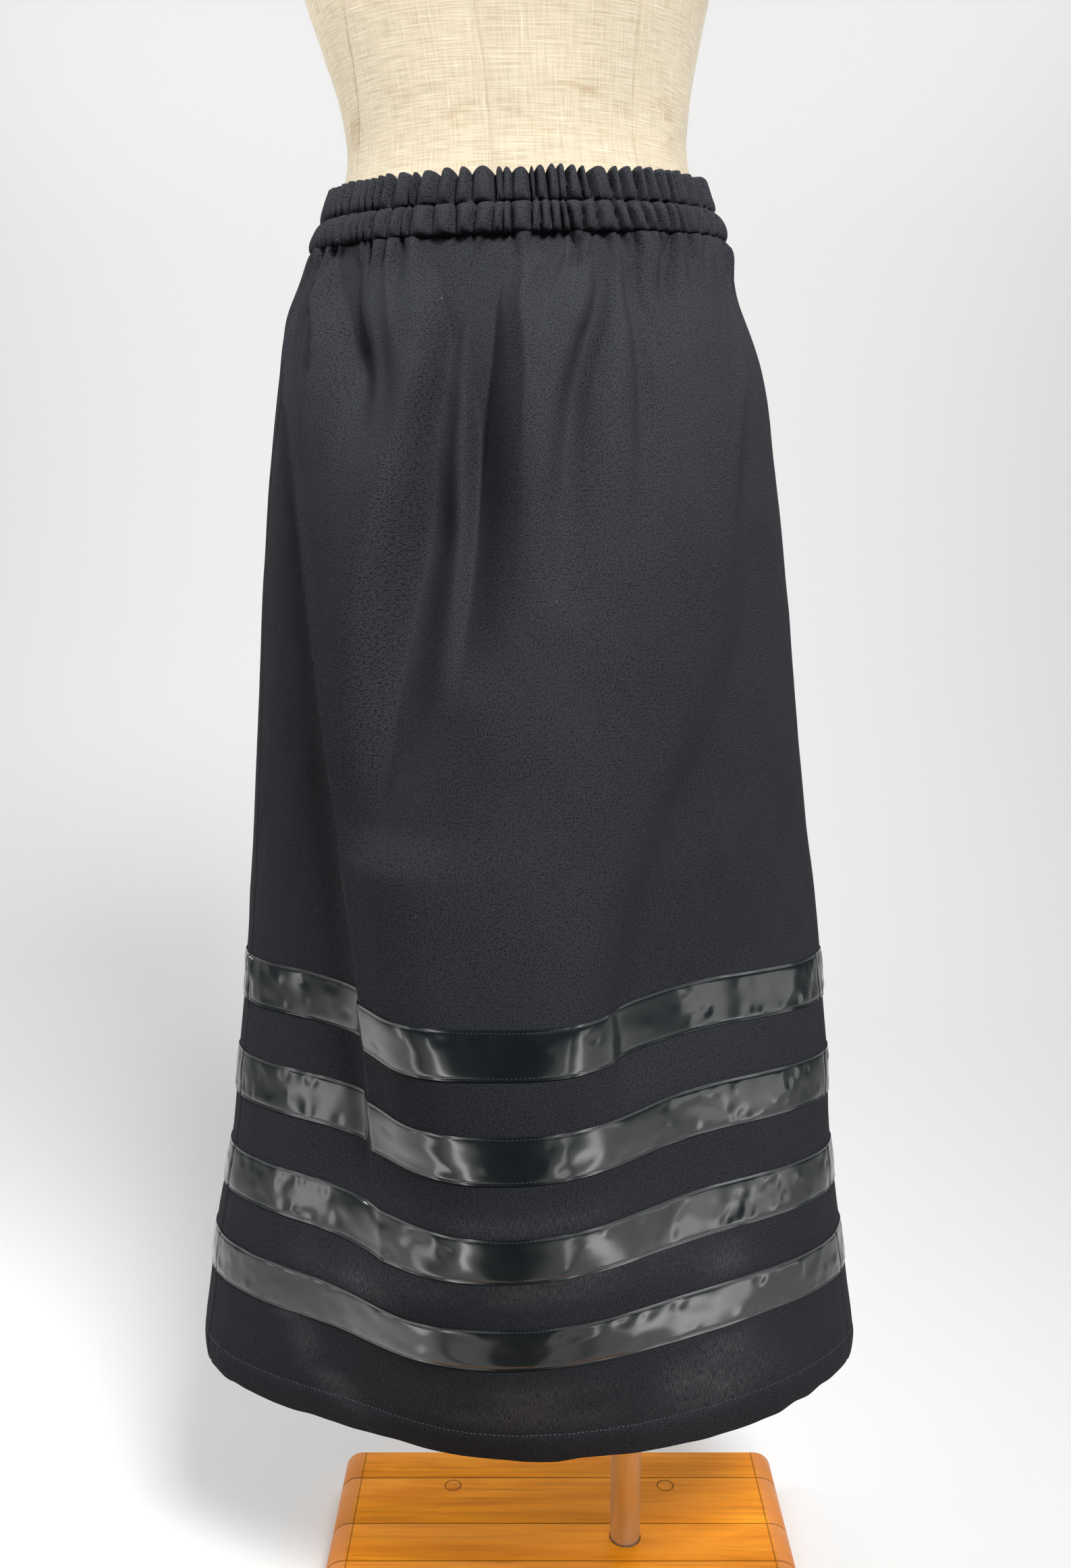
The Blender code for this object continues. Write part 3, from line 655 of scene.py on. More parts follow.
bandShape = {
    "height": 0.041, "middle": 0.0205, "seat": 0.0006, "pinch": 0.0072, "crest": 0.0118, "girth": 0.86,
    "columns": 1200, "lowRows": 17, "highRows": 19, "innerRises": [0.0, 0.010, 0.0205, 0.031, 0.0395],
    # the swell of each channel: how far up the upper one arches, and hills round, to a metre upwards, seed
    "arch": 0.80, "archPower": 0.4, "swell": 0.22, "swells": (34, 60, 5), "thinnest": 0.0016,
    # cracks between the pleats
    "pleatDeep": 0.0104, "shallowest": 0.55, "deeper": 0.55, "deepest": 1.1, "fullSpan": 0.0075,
    "leastSpan": 0.0005, "leastPleat": 0.35, "roundness": 0.8, "lean": 0.16, "lowLean": -0.3,
    "openFrom": 0.80,
    "fineGathers": 300, "fineSeed": 21, "fineDeep": 0.0018, "fineHalf": 0.0034,
    # the scalloped top and the lip that turns in over it
    "scallop": 0.0012, "scallops": 40, "scallopSeed": 6, "scallopDrop": 0.55, "scallopFrom": 0.45,
    "lipIn": 0.0010, "lipRound": 0.0011, "lipSag": 0.15, "lipSteps": [0.25, 0.55, 0.82],
    "uvLip": [0.001, 0.003, 0.005], "uvUp": 1.2, "uvInside": (1.3, 1.34),
}


def columnAt(shape, name, height):
    return smoothAlong(shape["height"], shape[name], height)


def formOutline(height, turn):
    across = -np.cos(2 * np.pi * turn)
    forward = np.sin(2 * np.pi * turn)
    power = 2 / formShape["squareness"]
    depth = np.where(forward > 0, columnAt(formShape, "front", height), columnAt(formShape, "back", height))
    x = columnAt(formShape, "centreX", height)
    x = x + columnAt(formShape, "halfWidth", height) * np.sign(across) * np.abs(across) ** power
    return x, -depth * np.sign(forward) * np.abs(forward) ** power


def skirtOutline(height, turn):
    column = {name: columnAt(skirtShape, name, height)
              for name in ("halfWidth", "centreX", "sideY", "belly", "nose", "noseLeft", "leftRun",
                           "noseRight", "rightRun", "back")}
    forward = np.sin(2 * np.pi * turn)
    x = -column["halfWidth"] * np.cos(2 * np.pi * turn)
    nose = rise((x - column["noseLeft"]) / column["leftRun"])
    nose = nose * rise((column["noseRight"] - x) / column["rightRun"])
    front = column["sideY"] - column["belly"] * forward - column["nose"] * nose * ease(2 * forward)
    back = column["sideY"] - column["back"] * forward
    return column["centreX"] + x, np.where(forward > 0, front, back)


def outward(outline, height, turn):
    step = skirtShape["outlineStep"]
    x1, y1 = outline(height, turn + step)
    x0, y0 = outline(height, turn - step)
    length = np.hypot(x1 - x0, y1 - y0)
    return (y1 - y0) / length, -(x1 - x0) / length


def pointOut(outline, height, turn, out, z):  # on the outline, moved out, at height z
    x, y = outline(height, turn)
    nx, ny = outward(outline, height, turn)
    return np.stack([x + nx * out, y + ny * out, z + 0 * x], axis=-1)


def waistLift(x, y):
    s = skirtShape
    return s["tiltAcross"] * (x - s["centreX"][-1]) + s["tiltBack"] * (y + s["belly"][-1])


def waistPoint(riseAbove, turn, out):
    level = skirtShape["bandBottom"] + riseAbove
    height = level + waistLift(*formOutline(level, turn))
    return pointOut(formOutline, height, turn, out, height)


# Gathers drawn in by the elastic: uneven places, depths and lengths
gatherSet = {
    "count": 92, "seed": 11, "least": 0.40, "most": 1.80, "shallowest": 0.35, "depthPower": 1.4,
    "slant": 0.35, "reaches": [0.018, 0.026, 0.036, 0.050, 0.072], "upperLeast": 0.2, "shift": 0.0024,
    "deep": 0.0150, "half": 0.0022, "widening": 0.11, "fadePower": 1.3, "sharp": 1.4,
}


def drawGathers():
    s = gatherSet
    rng = random.Random(s["seed"])
    steps = [rng.uniform(s["least"], s["most"]) for _ in range(s["count"])]
    made = []
    for place in np.cumsum(steps) / sum(steps):
        made.append({"turn": place, "depth": rng.uniform(s["shallowest"], 1.0) ** s["depthPower"],
                     "slant": rng.uniform(-s["slant"], s["slant"]), "reach": rng.choice(s["reaches"]),
                     "upper": rng.uniform(s["upperLeast"], 1.0),
                     "shift": rng.uniform(-s["shift"], s["shift"])})
    return made


gathers = drawGathers()


def around(turn, place, girth):  # distance in metres from a place, the short way round
    return ((turn - place + 0.5) % 1.0 - 0.5) * girth


def panelGathers(turn, drop):
    s = gatherSet
    depth = 0.0
    for g in gathers:
        away = around(turn, g["turn"], bandShape["girth"]) - g["slant"] * drop
        profile = bell(away / (s["half"] + s["widening"] * drop), s["sharp"])
        fade = np.exp(-(drop / g["reach"]) ** s["fadePower"])
        depth = depth + s["deep"] * g["depth"] * fade * profile
    return depth


# Creases, measured in millimetres and thousandths of a turn: the right side's share of the half width, how
# sharp the profile is, half width and depth at the top, middle and bottom, and the path from the top down
# with its height and turn. A trough has a positive depth, a ridge a negative one.
creases = [
    # the long edge of the fold on the left, with the flank stepping back behind it
    (1.8, 1.1, (3, 3.5, 6), (-4.5, -6, -2), (1150, 46), (1112, 56), (1060, 82), (1004, 106), (916, 126),
     (852, 138), (760, 150), (656, 164), (576, 168), (492, 178), (430, 184)),
    (0.28, 2.0, (14, 27, 12), (3, 10, 3), (1130, 40), (1060, 73), (1004, 97), (916, 117), (852, 129),
     (760, 141), (656, 155), (576, 159), (500, 168)),
    (1.3, 2.0, (20, 28, 20), (-3, -7, -2), (1090, 104), (1004, 134), (900, 152), (760, 172), (640, 186),
     (560, 190)),
    (1.7, 1.2, (4, 4, 8), (-5, -7.5, -2), (1188, 68), (1156, 92), (1120, 106), (1050, 106)),
    (1.3, 2.0, (5, 6, 6), (6, 5, 1), (1188, 96), (1160, 108), (1130, 118)),
    (1.3, 2.0, (8, 12, 12), (12, 24, 6), (1186, 112), (1172, 117), (1130, 130), (1101, 141), (1055, 150)),
    (1.5, 2.0, (4, 5, 8), (2, 5, 2), (1140, 158), (1095, 165), (1050, 168)),
    (2.0, 1.3, (3, 3, 6), (-2.5, -3.5, -1), (1186, 158), (1152, 165), (1100, 178)),
    (1.0, 2.0, (10, 13, 14), (-1.5, -3.5, -1), (1100, 184), (1056, 184), (1020, 178), (960, 170)),
    (1.8, 2.0, (5, 6, 7), (8, 8, 1), (1188, 186), (1168, 191), (1130, 198)),
    # the two deep valleys in front, with long slopes up to their right
    (3.1, 2.0, (6, 13, 16), (17, 52, 16), (1188, 200), (1148, 207), (1104, 202), (1056, 193), (1000, 187),
     (952, 179), (880, 171), (780, 169)),
    (2.4, 2.0, (5, 8, 9), (15, 33, 9), (1188, 234), (1150, 228), (1100, 223), (1067, 223), (980, 222),
     (900, 217)),
    (2.4, 1.3, (4, 4, 8), (-3, -4.5, -0.8), (1186, 254), (1120, 254), (1072, 252), (970, 250)),
    (1.5, 2.0, (5, 6, 7), (7, 5, 0.8), (1188, 266), (1160, 264), (1130, 260)),
    (1.4, 2.0, (7, 9, 12), (13, 19, 4), (1188, 302), (1165, 306), (1148, 307), (1134, 303), (1119, 295),
     (1086, 284), (1020, 276), (950, 272)),
    (1.5, 2.0, (4, 6, 9), (6, 8, 2), (1188, 320), (1150, 327), (1095, 325), (1040, 321), (980, 316)),
    (1.5, 2.0, (5, 6, 8), (5, 3.6, 0.8), (1188, 362), (1150, 358), (1120, 354)),
    (0.8, 1.3, (5, 9, 13), (-4, -6.5, -2), (1188, 458), (1160, 446), (1132, 430), (1096, 413), (1032, 391),
     (970, 378)),
    (1.5, 2.0, (12, 18, 14), (1, 5, 1), (1150, 452), (1096, 430), (1032, 408), (960, 394), (900, 386)),
    # the broad soft valley that crosses the right side down to the first ribbon
    (1.8, 2.0, (16, 20, 10), (2.5, 8, 6), (980, 418), (920, 394), (848, 362), (768, 328), (720, 312),
     (660, 298), (600, 298)),
    # sides and back
    (0.8, 2.0, (5, 10, 13), (5, 5, 1), (1186, 520), (1120, 512), (1020, 506)),
    (0.8, 2.2, (5, 12, 16), (5.5, 7.5, 1.5), (1188, 566), (1140, 574), (1060, 586), (960, 596)),
    (0.8, 1.5, (4, 8, 10), (-3, -3.5, -1), (1188, 622), (1150, 616), (1080, 620)),
    (0.8, 2.2, (5, 14, 18), (6, 10, 2), (1188, 664), (1140, 672), (1060, 680), (950, 690), (880, 694)),
    (0.8, 2.0, (4, 9, 12), (5, 5, 1), (1188, 716), (1130, 708), (1040, 712)),
    (0.8, 2.2, (5, 13, 16), (6, 8.5, 1.5), (1188, 758), (1140, 760), (1050, 754), (940, 748)),
    (0.8, 1.5, (3, 7, 10), (-2.5, -3.5, -1), (1186, 800), (1140, 794), (1070, 796)),
    (0.8, 2.2, (5, 13, 17), (6, 9, 2), (1188, 846), (1140, 850), (1060, 842), (960, 834), (900, 830)),
    (0.8, 2.0, (4, 9, 12), (5.5, 5.5, 1), (1188, 905), (1140, 912), (1060, 906), (1000, 900)),
    (0.8, 2.0, (5, 10, 12), (4.5, 4.5, 1), (1186, 962), (1120, 970), (1040, 976)),
    # the wide waves of the back, open at the hem
    (0.8, 2.0, (34, 36, 36), (2, 8, 14), (700, 656), (500, 648), (284, 641)),
    (0.8, 2.0, (36, 41, 41), (2, 9, 16), (740, 774), (500, 769), (284, 765)),
    (0.8, 2.0, (30, 34, 34), (2, 7.5, 13), (660, 869), (480, 875), (284, 880)),
]
creaseSet = {"taper": 0.018, "waveTaper": 0.144, "runsToBand": 1.18, "runsToHem": 0.30,
             "hemGirth": 1.38, "waistGirth": 0.92}


def creaseDepth(height, turn):
    s = creaseSet
    upward = np.clip((height - skirtShape["hem"]) / (skirtShape["bandBottom"] - skirtShape["hem"]), 0, 1)
    girth = s["hemGirth"] + (s["waistGirth"] - s["hemGirth"]) * upward
    total = 0.0
    for right, sharp, widths, depths, *path in creases:
        levels, turns = np.array(sorted(path)).T / 1000
        low, high = levels[0], levels[-1]
        ends = [low, (low + high) / 2, high]
        width = np.interp(height, ends, widths[::-1]) / 1000
        depth = np.interp(height, ends, depths[::-1]) / 1000
        taper = s["taper"]
        inside = ease((height - low + taper) / taper)
        if low < s["runsToHem"]:
            taper = s["waveTaper"]
            inside = 1.0
        if high <= s["runsToBand"]:
            inside = inside * ease((high + taper - height) / taper)
        away = around(turn, smoothAlong(levels, turns, height), girth)
        width = np.where(away > 0, width * right, width)
        total = total + depth * inside * bell(away / width, sharp)
    return total


def keepOffForm(point, clear):  # cloth never sinks into the form it hangs on
    x, y, z = point[..., 0], point[..., 1], point[..., 2]
    middle = columnAt(formShape, "centreX", z)
    wide = columnAt(formShape, "halfWidth", z) + clear
    deep = np.where(y < 0, columnAt(formShape, "front", z), columnAt(formShape, "back", z)) + clear
    power = formShape["squareness"]
    reach = (np.abs((x - middle) / wide) ** power + np.abs(y / deep) ** power) ** (1 / power)
    push = np.where(z > formShape["height"][0], np.maximum(1.0, 1.0 / np.maximum(reach, 0.5)), 1.0)
    return np.stack([middle + (x - middle) * push, y * push, z], axis=-1)


def skirtPoint(height, turn, rawOut):
    s = skirtShape
    turn = turn % 1.0
    height = height + 0 * turn
    z = height + waistLift(*skirtOutline(height, turn)) * ease((height - s["tiltEnd"])
                                                               / (s["bandBottom"] - s["tiltEnd"]))
    sides = np.cos(2 * np.pi * turn) ** s["hemLiftPower"]
    z = z + s["hemLift"] * sides * np.exp((s["hem"] - height) / s["hemLiftFade"])
    drop = s["bandBottom"] - height
    held = s["heldShare"] + (1 - s["heldShare"]) * ease(drop / s["heldLong"])
    out = rawOut - held * (creaseDepth(height, turn) + panelGathers(turn, drop))
    for wraps, steps, high, seed in s["hills"]:
        out = out + softNoise(turn * wraps, height * steps, wraps, seed) * high
    for place in (s["leftSeam"], s["rightSeam"]):
        out = out - s["seamDip"] * bell(around(turn, place, s["seamGirth"]) / s["seamHalf"])
    level = pointOut(skirtOutline, height, turn, out, z)
    puff = s["puff"] * (1 - np.exp(-np.maximum(drop, 0) / s["puffLong"]))
    clear = bandShape["seat"] + bandShape["pinch"] + puff + out + s["waistClear"]
    waist = waistPoint(-s["bandGap"] - drop, turn, np.maximum(clear, s["waistClear"] + rawOut))
    share = ease(drop / s["topBlend"])[..., None]
    return keepOffForm(waist * (1 - share) + level * share, s["formClear"] + rawOut)


# Skirt panels

panelSet = {
    "columns": 400, "thick": 0.0007, "hemThick": 0.0017, "hemDeep": 0.028, "hemStitch": 0.0262,
    "foldRows": [0, 0.0008, 0.002, 0.004, 0.007], "turnFrom": 0.010, "turnRows": 4, "wallFrom": 0.0285,
    "lowRows": 62, "highRows": 38, "highFrom": 1.080, "edgeIn": 0.0006, "hemCurl": 0.0045,
    "curlPower": 1.6, "curlLift": 0.5, "edgeWave": 0.0011, "edgeWaves": 84, "edgeSeed": 9, "edgeFade": 0.012,
    "groove": 0.0005, "grooveHalf": 0.0012, "below": 0.0005, "belowRun": 0.0006, "pucker": 0.0004,
    "puckers": 190, "puckerSeed": 12, "puckerHalf": 0.008,
    # the hem hangs a little lower in front, most of all on the right
    "sagFront": 0.0022, "sagFrontTurn": 0.25, "sagFrontWidth": 0.20,
    "sagRight": 0.0075, "sagRightTurn": 0.352,
    "sagRightWidth": 0.045, "sagFade": 0.035,
}


def panelHeights():
    p = panelSet
    hem, stitch = skirtShape["hem"], skirtShape["hem"] + p["hemStitch"]
    heights = [hem + up for up in p["foldRows"]]
    heights += list(np.linspace(hem + p["turnFrom"], stitch - p["grooveHalf"], p["turnRows"]))
    heights += [stitch, stitch + p["grooveHalf"]]
    heights += list(np.linspace(hem + p["wallFrom"], p["highFrom"], p["lowRows"]))
    heights += list(np.linspace(p["highFrom"], skirtShape["bandBottom"], p["highRows"]))[1:]
    return np.array(heights)


def hemRipple(turn, height):  # the stitched hem is a little wavy at its very edge
    near = np.exp((skirtShape["hem"] - height) / panelSet["edgeFade"])
    waves = panelSet["edgeWaves"]
    return softNoise(turn * waves, turn * 0, waves, panelSet["edgeSeed"]) * panelSet["edgeWave"] * near


def hemSag(turn, height):
    p = panelSet
    sag = p["sagFront"] * bell((turn % 1.0 - p["sagFrontTurn"]) / p["sagFrontWidth"], 4)
    sag = sag + p["sagRight"] * bell((turn % 1.0 - p["sagRightTurn"]) / p["sagRightWidth"])
    return sag * np.exp((skirtShape["hem"] - height) / p["sagFade"])


def clothPoint(height, turn, out):
    p = panelSet
    above = height - skirtShape["hem"] - p["hemStitch"]
    groove = p["groove"] * bell(above / p["grooveHalf"])
    below = p["below"] * rise(-above / p["belowRun"])
    pucker = softNoise(turn * p["puckers"], turn * 0, p["puckers"], p["puckerSeed"])
    pucker = p["pucker"] * pucker * bell(above / p["puckerHalf"])
    curl = p["hemCurl"] * np.clip(-above / p["hemStitch"], 0, 1) ** p["curlPower"]
    point = skirtPoint(height, turn, out - groove + below + pucker - curl)
    point[..., 2] += hemRipple(turn, height) - hemSag(turn, height) - p["curlLift"] * curl
    return point


pressedSet = {
    # places rubbed smooth by the iron: turn, height, half width and half height in metres, lean
    "spots": [
        (0.246, 0.501, 0.060, 0.013, 0.0), (0.157, 0.428, 0.034, 0.017, 0.2),
        (0.252, 0.451, 0.100, 0.022, 0.0), (0.351, 0.428, 0.022, 0.012, 0.0),
        (0.142, 0.345, 0.016, 0.040, 0.75), (0.263, 0.338, 0.070, 0.022, 0.0),
        (0.338, 0.340, 0.055, 0.036, -0.3), (0.640, 0.440, 0.060, 0.020, 0.0),
        (0.760, 0.350, 0.080, 0.024, 0.2),
    ],
    "patches": (40, 50, 23), "patchMiddle": 0.75, "patchSwing": 0.6,
}


def pressedShare(height, turn):
    total = 0.0
    for place, level, wide, high, lean in pressedSet["spots"]:
        up = height - level
        away = around(turn, place, skirtShape["uvGirth"]) + lean * up
        total = total + bell(away / wide) * bell(up / high, 4)
    wraps, steps, seed = pressedSet["patches"]
    patches = pressedSet["patchSwing"] * softNoise(turn * wraps, height * steps, wraps, seed)
    return np.clip(total, 0, 1) * np.clip(pressedSet["patchMiddle"] + patches, 0, 1)


def makePanel(name, firstTurn, lastTurn, node):
    p = panelSet
    seamTurn = skirtShape["seamTurn"]
    heights = panelHeights()
    turn, height = np.meshgrid(np.linspace(firstTurn + seamTurn, lastTurn - seamTurn, p["columns"]), heights)
    edgeIn = np.where(height == heights[0], p["edgeIn"], 0.0)
    thick = np.where(height < skirtShape["hem"] + p["hemDeep"], p["hemThick"], p["thick"])
    outer = clothPoint(height, turn, -edgeIn)
    inner = clothPoint(height, turn, edgeIn - thick)
    uv = np.stack([turn * skirtShape["uvGirth"], height], axis=-1)
    piece = wallPiece(name, outer, inner, False, crepe, uv, uv + skirtShape["uvInside"])
    pressed = piece.data.attributes.new("pressed", "FLOAT", "POINT")
    share = pressedShare(height, turn).ravel()
    pressed.data.foreach_set("value", np.concatenate([share, 0 * share]))
    return finishPiece(piece, "skirt_cloth", node)


frontCloth = makePanel("front_cloth", skirtShape["leftSeam"], skirtShape["rightSeam"], "front_panel")
backCloth = makePanel("back_cloth", skirtShape["rightSeam"], 1 + skirtShape["leftSeam"], "back_panel")
print("skirt panels made")


# Elastic waistband in two gathered channels

def pleatRow(along, up):  # 0 on top of each round pleat, 1 in the crack between two of them
    b = bandShape
    girth = b["girth"]
    cracks = []
    for g in gathers:
        if up > b["middle"]:
            shift, deep = g["shift"] + b["lean"] * g["slant"] * (up - b["middle"]), g["upper"]
        else:
            shift, deep = b["lowLean"] * g["slant"] * (up - 0.5 * b["middle"]), g["depth"]
        cracks.append(((g["turn"] * girth + shift) % girth, b["shallowest"] + b["deeper"] * deep))
    cracks.sort()
    places = np.array([cracks[-1][0] - girth] + [c[0] for c in cracks] + [cracks[0][0] + girth])
    deeps = np.array([cracks[-1][1]] + [c[1] for c in cracks] + [cracks[0][1]])
    after = np.clip(np.searchsorted(places, along), 1, len(places) - 1)
    span = np.maximum(places[after] - places[after - 1], b["leastSpan"])
    phase = np.clip((along - places[after - 1]) / span, 0, 1)
    deep = np.where(phase < 0.5, deeps[after - 1], deeps[after])
    fullness = np.clip(span / b["fullSpan"], b["leastPleat"], 1.0)
    return deep * (1 - np.sin(np.pi * phase) ** b["roundness"]) * fullness


def bandGroove(turn, riseAbove):
    b = bandShape
    lower = np.clip(riseAbove / b["middle"], 0, 1)
    upper = np.clip((riseAbove - b["middle"]) / b["middle"], 0, 1)
    swing = np.where(riseAbove > b["middle"], 0.5 * np.minimum(upper / b["openFrom"], 1.0), lower)
    body = 0.50 + 0.50 * np.sin(np.pi * swing)
    along = turn[0] * b["girth"]
    depth = np.array([pleatRow(along, up) for up in riseAbove[:, 0]])
    fine = 0.5 + 0.5 * softNoise(turn * b["fineGathers"], riseAbove * 0, b["fineGathers"], b["fineSeed"])
    nearStitch = bell((riseAbove - b["middle"]) / b["fineHalf"]) + bell(riseAbove / b["fineHalf"])
    return b["pleatDeep"] * body * np.minimum(depth, b["deepest"]) + b["fineDeep"] * fine * nearStitch


def makeBand():
    b = bandShape
    middle, height = b["middle"], b["height"]
    turns = np.arange(b["columns"]) / b["columns"]
    lowRises = np.linspace(0, middle, b["lowRows"])
    rises = np.concatenate([lowRises, np.linspace(middle, height, b["highRows"])[1:]])
    turn, riseAbove = np.meshgrid(turns, rises)
    top = riseAbove > middle
    share = np.where(top, (riseAbove - middle) / (height - middle), riseAbove / middle)
    bulge = np.sin(np.pi * np.where(top, share * b["arch"], share).clip(0, 1)) ** b["archPower"]
    wraps, steps, seed = b["swells"]
    swell = 1 + b["swell"] * softNoise(turn * wraps, riseAbove * steps, wraps, seed)
    thick = b["pinch"] + (b["crest"] - b["pinch"]) * bulge * swell
    groove = bandGroove(turn, riseAbove)
    outer = waistPoint(riseAbove, turn, b["seat"] + np.maximum(thick - groove, b["thinnest"]))
    scallop = b["scallop"] * (1 + softNoise(turn * b["scallops"], turn * 0, b["scallops"], b["scallopSeed"]))
    scallop = scallop - b["scallopDrop"] * groove
    outer[..., 2] += scallop * ease((share - b["scallopFrom"]) / (1 - b["scallopFrom"])) * top

    def ring(up, out):
        return waistPoint(np.full((1, len(turns)), up), turns[None, :], out)

    crest = outer[-1:]
    inward = ring(height, b["seat"] + b["lipIn"])
    rings = [outer]
    for step in b["lipSteps"]:
        lip = crest * (1 - step) + inward * step
        sag = b["lipSag"] * (crest[..., 2] - inward[..., 2]) * step
        lip[..., 2] = crest[..., 2] + b["lipRound"] * math.sin(math.pi * step) - sag
        rings.append(lip)
    inner = np.concatenate([ring(up, b["seat"]) for up in b["innerRises"]])
    uvRise = np.concatenate([rises, [height + up for up in b["uvLip"]]])
    uvAcross = turns * skirtShape["uvGirth"]
    uvOuter = np.stack(np.meshgrid(uvAcross, uvRise + b["uvUp"]), axis=-1)
    uvInner = np.stack(np.meshgrid(uvAcross, np.linspace(*b["uvInside"], len(inner))), axis=-1)
    piece = wallPiece("gathered_band", np.concatenate(rings), inner, True, crepe, uvOuter, uvInner, 70)
    return finishPiece(piece, "skirt_cloth", "waistband")


band = makeBand()
print("waistband made")


# Satin ribbons

ribbonSet = {
    "width": 0.0381, "columns": 620, "thick": 0.0004, "gap": 0.0004, "stitchIn": 0.0022, "groove": 0.00025,
    "grooveHalf": 0.016,
    # name: top height, lean in degrees, seed
    "strips": {"ribbon_1": (0.654, 2.0, 31), "ribbon_2": (0.573, 5.0, 47), "ribbon_3": (0.491, 9.0, 58),
               "ribbon_4": (0.412, 14.0, 63)},
    # soft waves: how many round, how many up the width
    "puff": 0.0008, "puffMiddle": 0.7, "puffSwing": 0.6, "wideWaves": (38, 1.6), "ripple": 0.0004,
    "narrowWaves": (70, 2.4), "waveSlant": 1.3, "dome": 0.5, "dimple": 0.0013, "dimples": 170, 
    "dimpleLeast": 0.0036, "dimpleMost": 0.0058, "dimpleHigh": 0.85,
    "dimpleRows": [0.16, 0.84, 0.20, 0.80, 0.17, 0.83, 0.36, 0.64],
    "dimpleDeeps": [-0.5, -0.3, 0.6, 1.0], "deepest": 0.0001,
    "rows": [0, 0.018, 0.040, 0.058, 0.076, 0.105, 0.15, 0.21, 0.28, 0.36, 0.44, 0.52, 0.60, 0.68, 0.75,
             0.81, 0.86, 0.900, 0.924, 0.942, 0.960, 0.982, 1.0],
}
stitchShare = ribbonSet["stitchIn"] / ribbonSet["width"]  # how far up a ribbon its lower row of stitches lies


def ribbonHeight(name, share):
    top, lean, _ = ribbonSet["strips"][name]
    bottom = top - ribbonSet["width"] * math.cos(math.radians(lean))
    return bottom + (top - bottom) * share


def ribbonBulge(turn, share, seed):
    r = ribbonSet
    inside = np.clip((share - stitchShare) / (1 - 2 * stitchShare), 0, 1)
    dome = np.sin(np.pi * inside) ** r["dome"]
    wraps, up = r["wideWaves"]
    wide = softNoise(turn * wraps, inside * up + seed, wraps, seed)
    wraps, up = r["narrowWaves"]
    narrow = softNoise(turn * wraps + r["waveSlant"] * inside, inside * up + seed, wraps, seed + 1)
    lift = r["puff"] * (r["puffMiddle"] + r["puffSwing"] * wide) + r["ripple"] * narrow
    rng = random.Random(seed)
    pits = 0.0
    for _ in range(r["dimples"]):
        place = rng.uniform(0, 1)
        at = rng.choice(r["dimpleRows"])
        size = rng.uniform(r["dimpleLeast"], r["dimpleMost"])
        away = around(turn, place, skirtShape["uvGirth"])
        up = (share - at) * r["width"]
        pits = pits + rng.choice(r["dimpleDeeps"]) * bell(away / size) * bell(up / (r["dimpleHigh"] * size))
    return np.maximum(dome * lift - r["dimple"] * pits * dome ** 0.5, -r["deepest"] * dome)


def makeRibbon(name):
    r = ribbonSet
    first = skirtShape["rightSeam"] + skirtShape["seamTurn"]
    turns = np.linspace(first, first + 1 - 2 * skirtShape["seamTurn"], r["columns"])
    turn, share = np.meshgrid(turns, r["rows"])
    height = ribbonHeight(name, share)
    fromStitch = np.minimum(np.abs(share - stitchShare), np.abs(share - 1 + stitchShare))
    sunk = 1 - bell(fromStitch / r["grooveHalf"])
    out = r["gap"] + r["thick"] + r["groove"] * sunk + ribbonBulge(turn, share, r["strips"][name][2])
    outer = skirtPoint(height, turn, out)
    inner = skirtPoint(height, turn, np.maximum(out - r["thick"], r["gap"]))
    uv = np.stack([turn * skirtShape["uvGirth"], height], axis=-1)
    uvInner = uv + skirtShape["uvInside"]
    piece = wallPiece(name.replace("ribbon", "satin"), outer, inner, False, satin, uv, uvInner)
    return finishPiece(piece, "ribbon_satin", name)


satinStrips = {name: makeRibbon(name) for name in ribbonSet["strips"]}
print("ribbons made")


# Rows of stitches

stitchSet = {"long": 0.0024, "pitch": 0.0032, "hemLong": 0.0026, "hemPitch": 0.0036, "wide": 0.00045,
             "high": 0.00022, "points": 2400, "ribbonLift": 0.00008, "hemLift": 0.00012, "probe": 0.002}


def stitchRow(points, outs, pitch, long):  # one slim eight-sided stitch after another along a line
    steps = np.linalg.norm(np.diff(points, axis=0), axis=1)
    travelled = np.concatenate([[0], np.cumsum(steps)])

    def along(values, at):
        return np.array([np.interp(at, travelled, values[:, axis]) for axis in range(3)])

    verts, faces = [], []
    for start in np.arange(0.5 * pitch, travelled[-1] - pitch, pitch):
        first, middle, last = [along(points, start + d) for d in (0, long / 2, long)]
        out = along(outs, start + long / 2)
        out = out / np.linalg.norm(out)
        ahead = (last - first) / np.linalg.norm(last - first)
        side = np.cross(ahead, out) * stitchSet["wide"] / 2
        up = out * stitchSet["high"]
        base = len(verts)
        verts += [first, middle + side, middle + up, middle - side, middle - up, last]
        for a, b in ((1, 2), (2, 3), (3, 4), (4, 1)):
            faces += [(base, base + b, base + a), (base + 5, base + a, base + b)]
    return verts, faces


def rowPiece(name, rows, material, slot, pitch, long):
    allVerts, allFaces = [], []
    for points, outs in rows:
        verts, faces = stitchRow(points, outs, pitch, long)
        base = len(allVerts)
        allVerts += verts
        allFaces += [tuple(base + corner for corner in face) for face in faces]
    piece = meshPiece(name, allVerts, allFaces, material)
    return finishPiece(piece, slot)


def lineOn(surface, height, turns, lift):
    points = surface(height, turns, lift)
    return points, surface(height, turns, lift + stitchSet["probe"]) - points


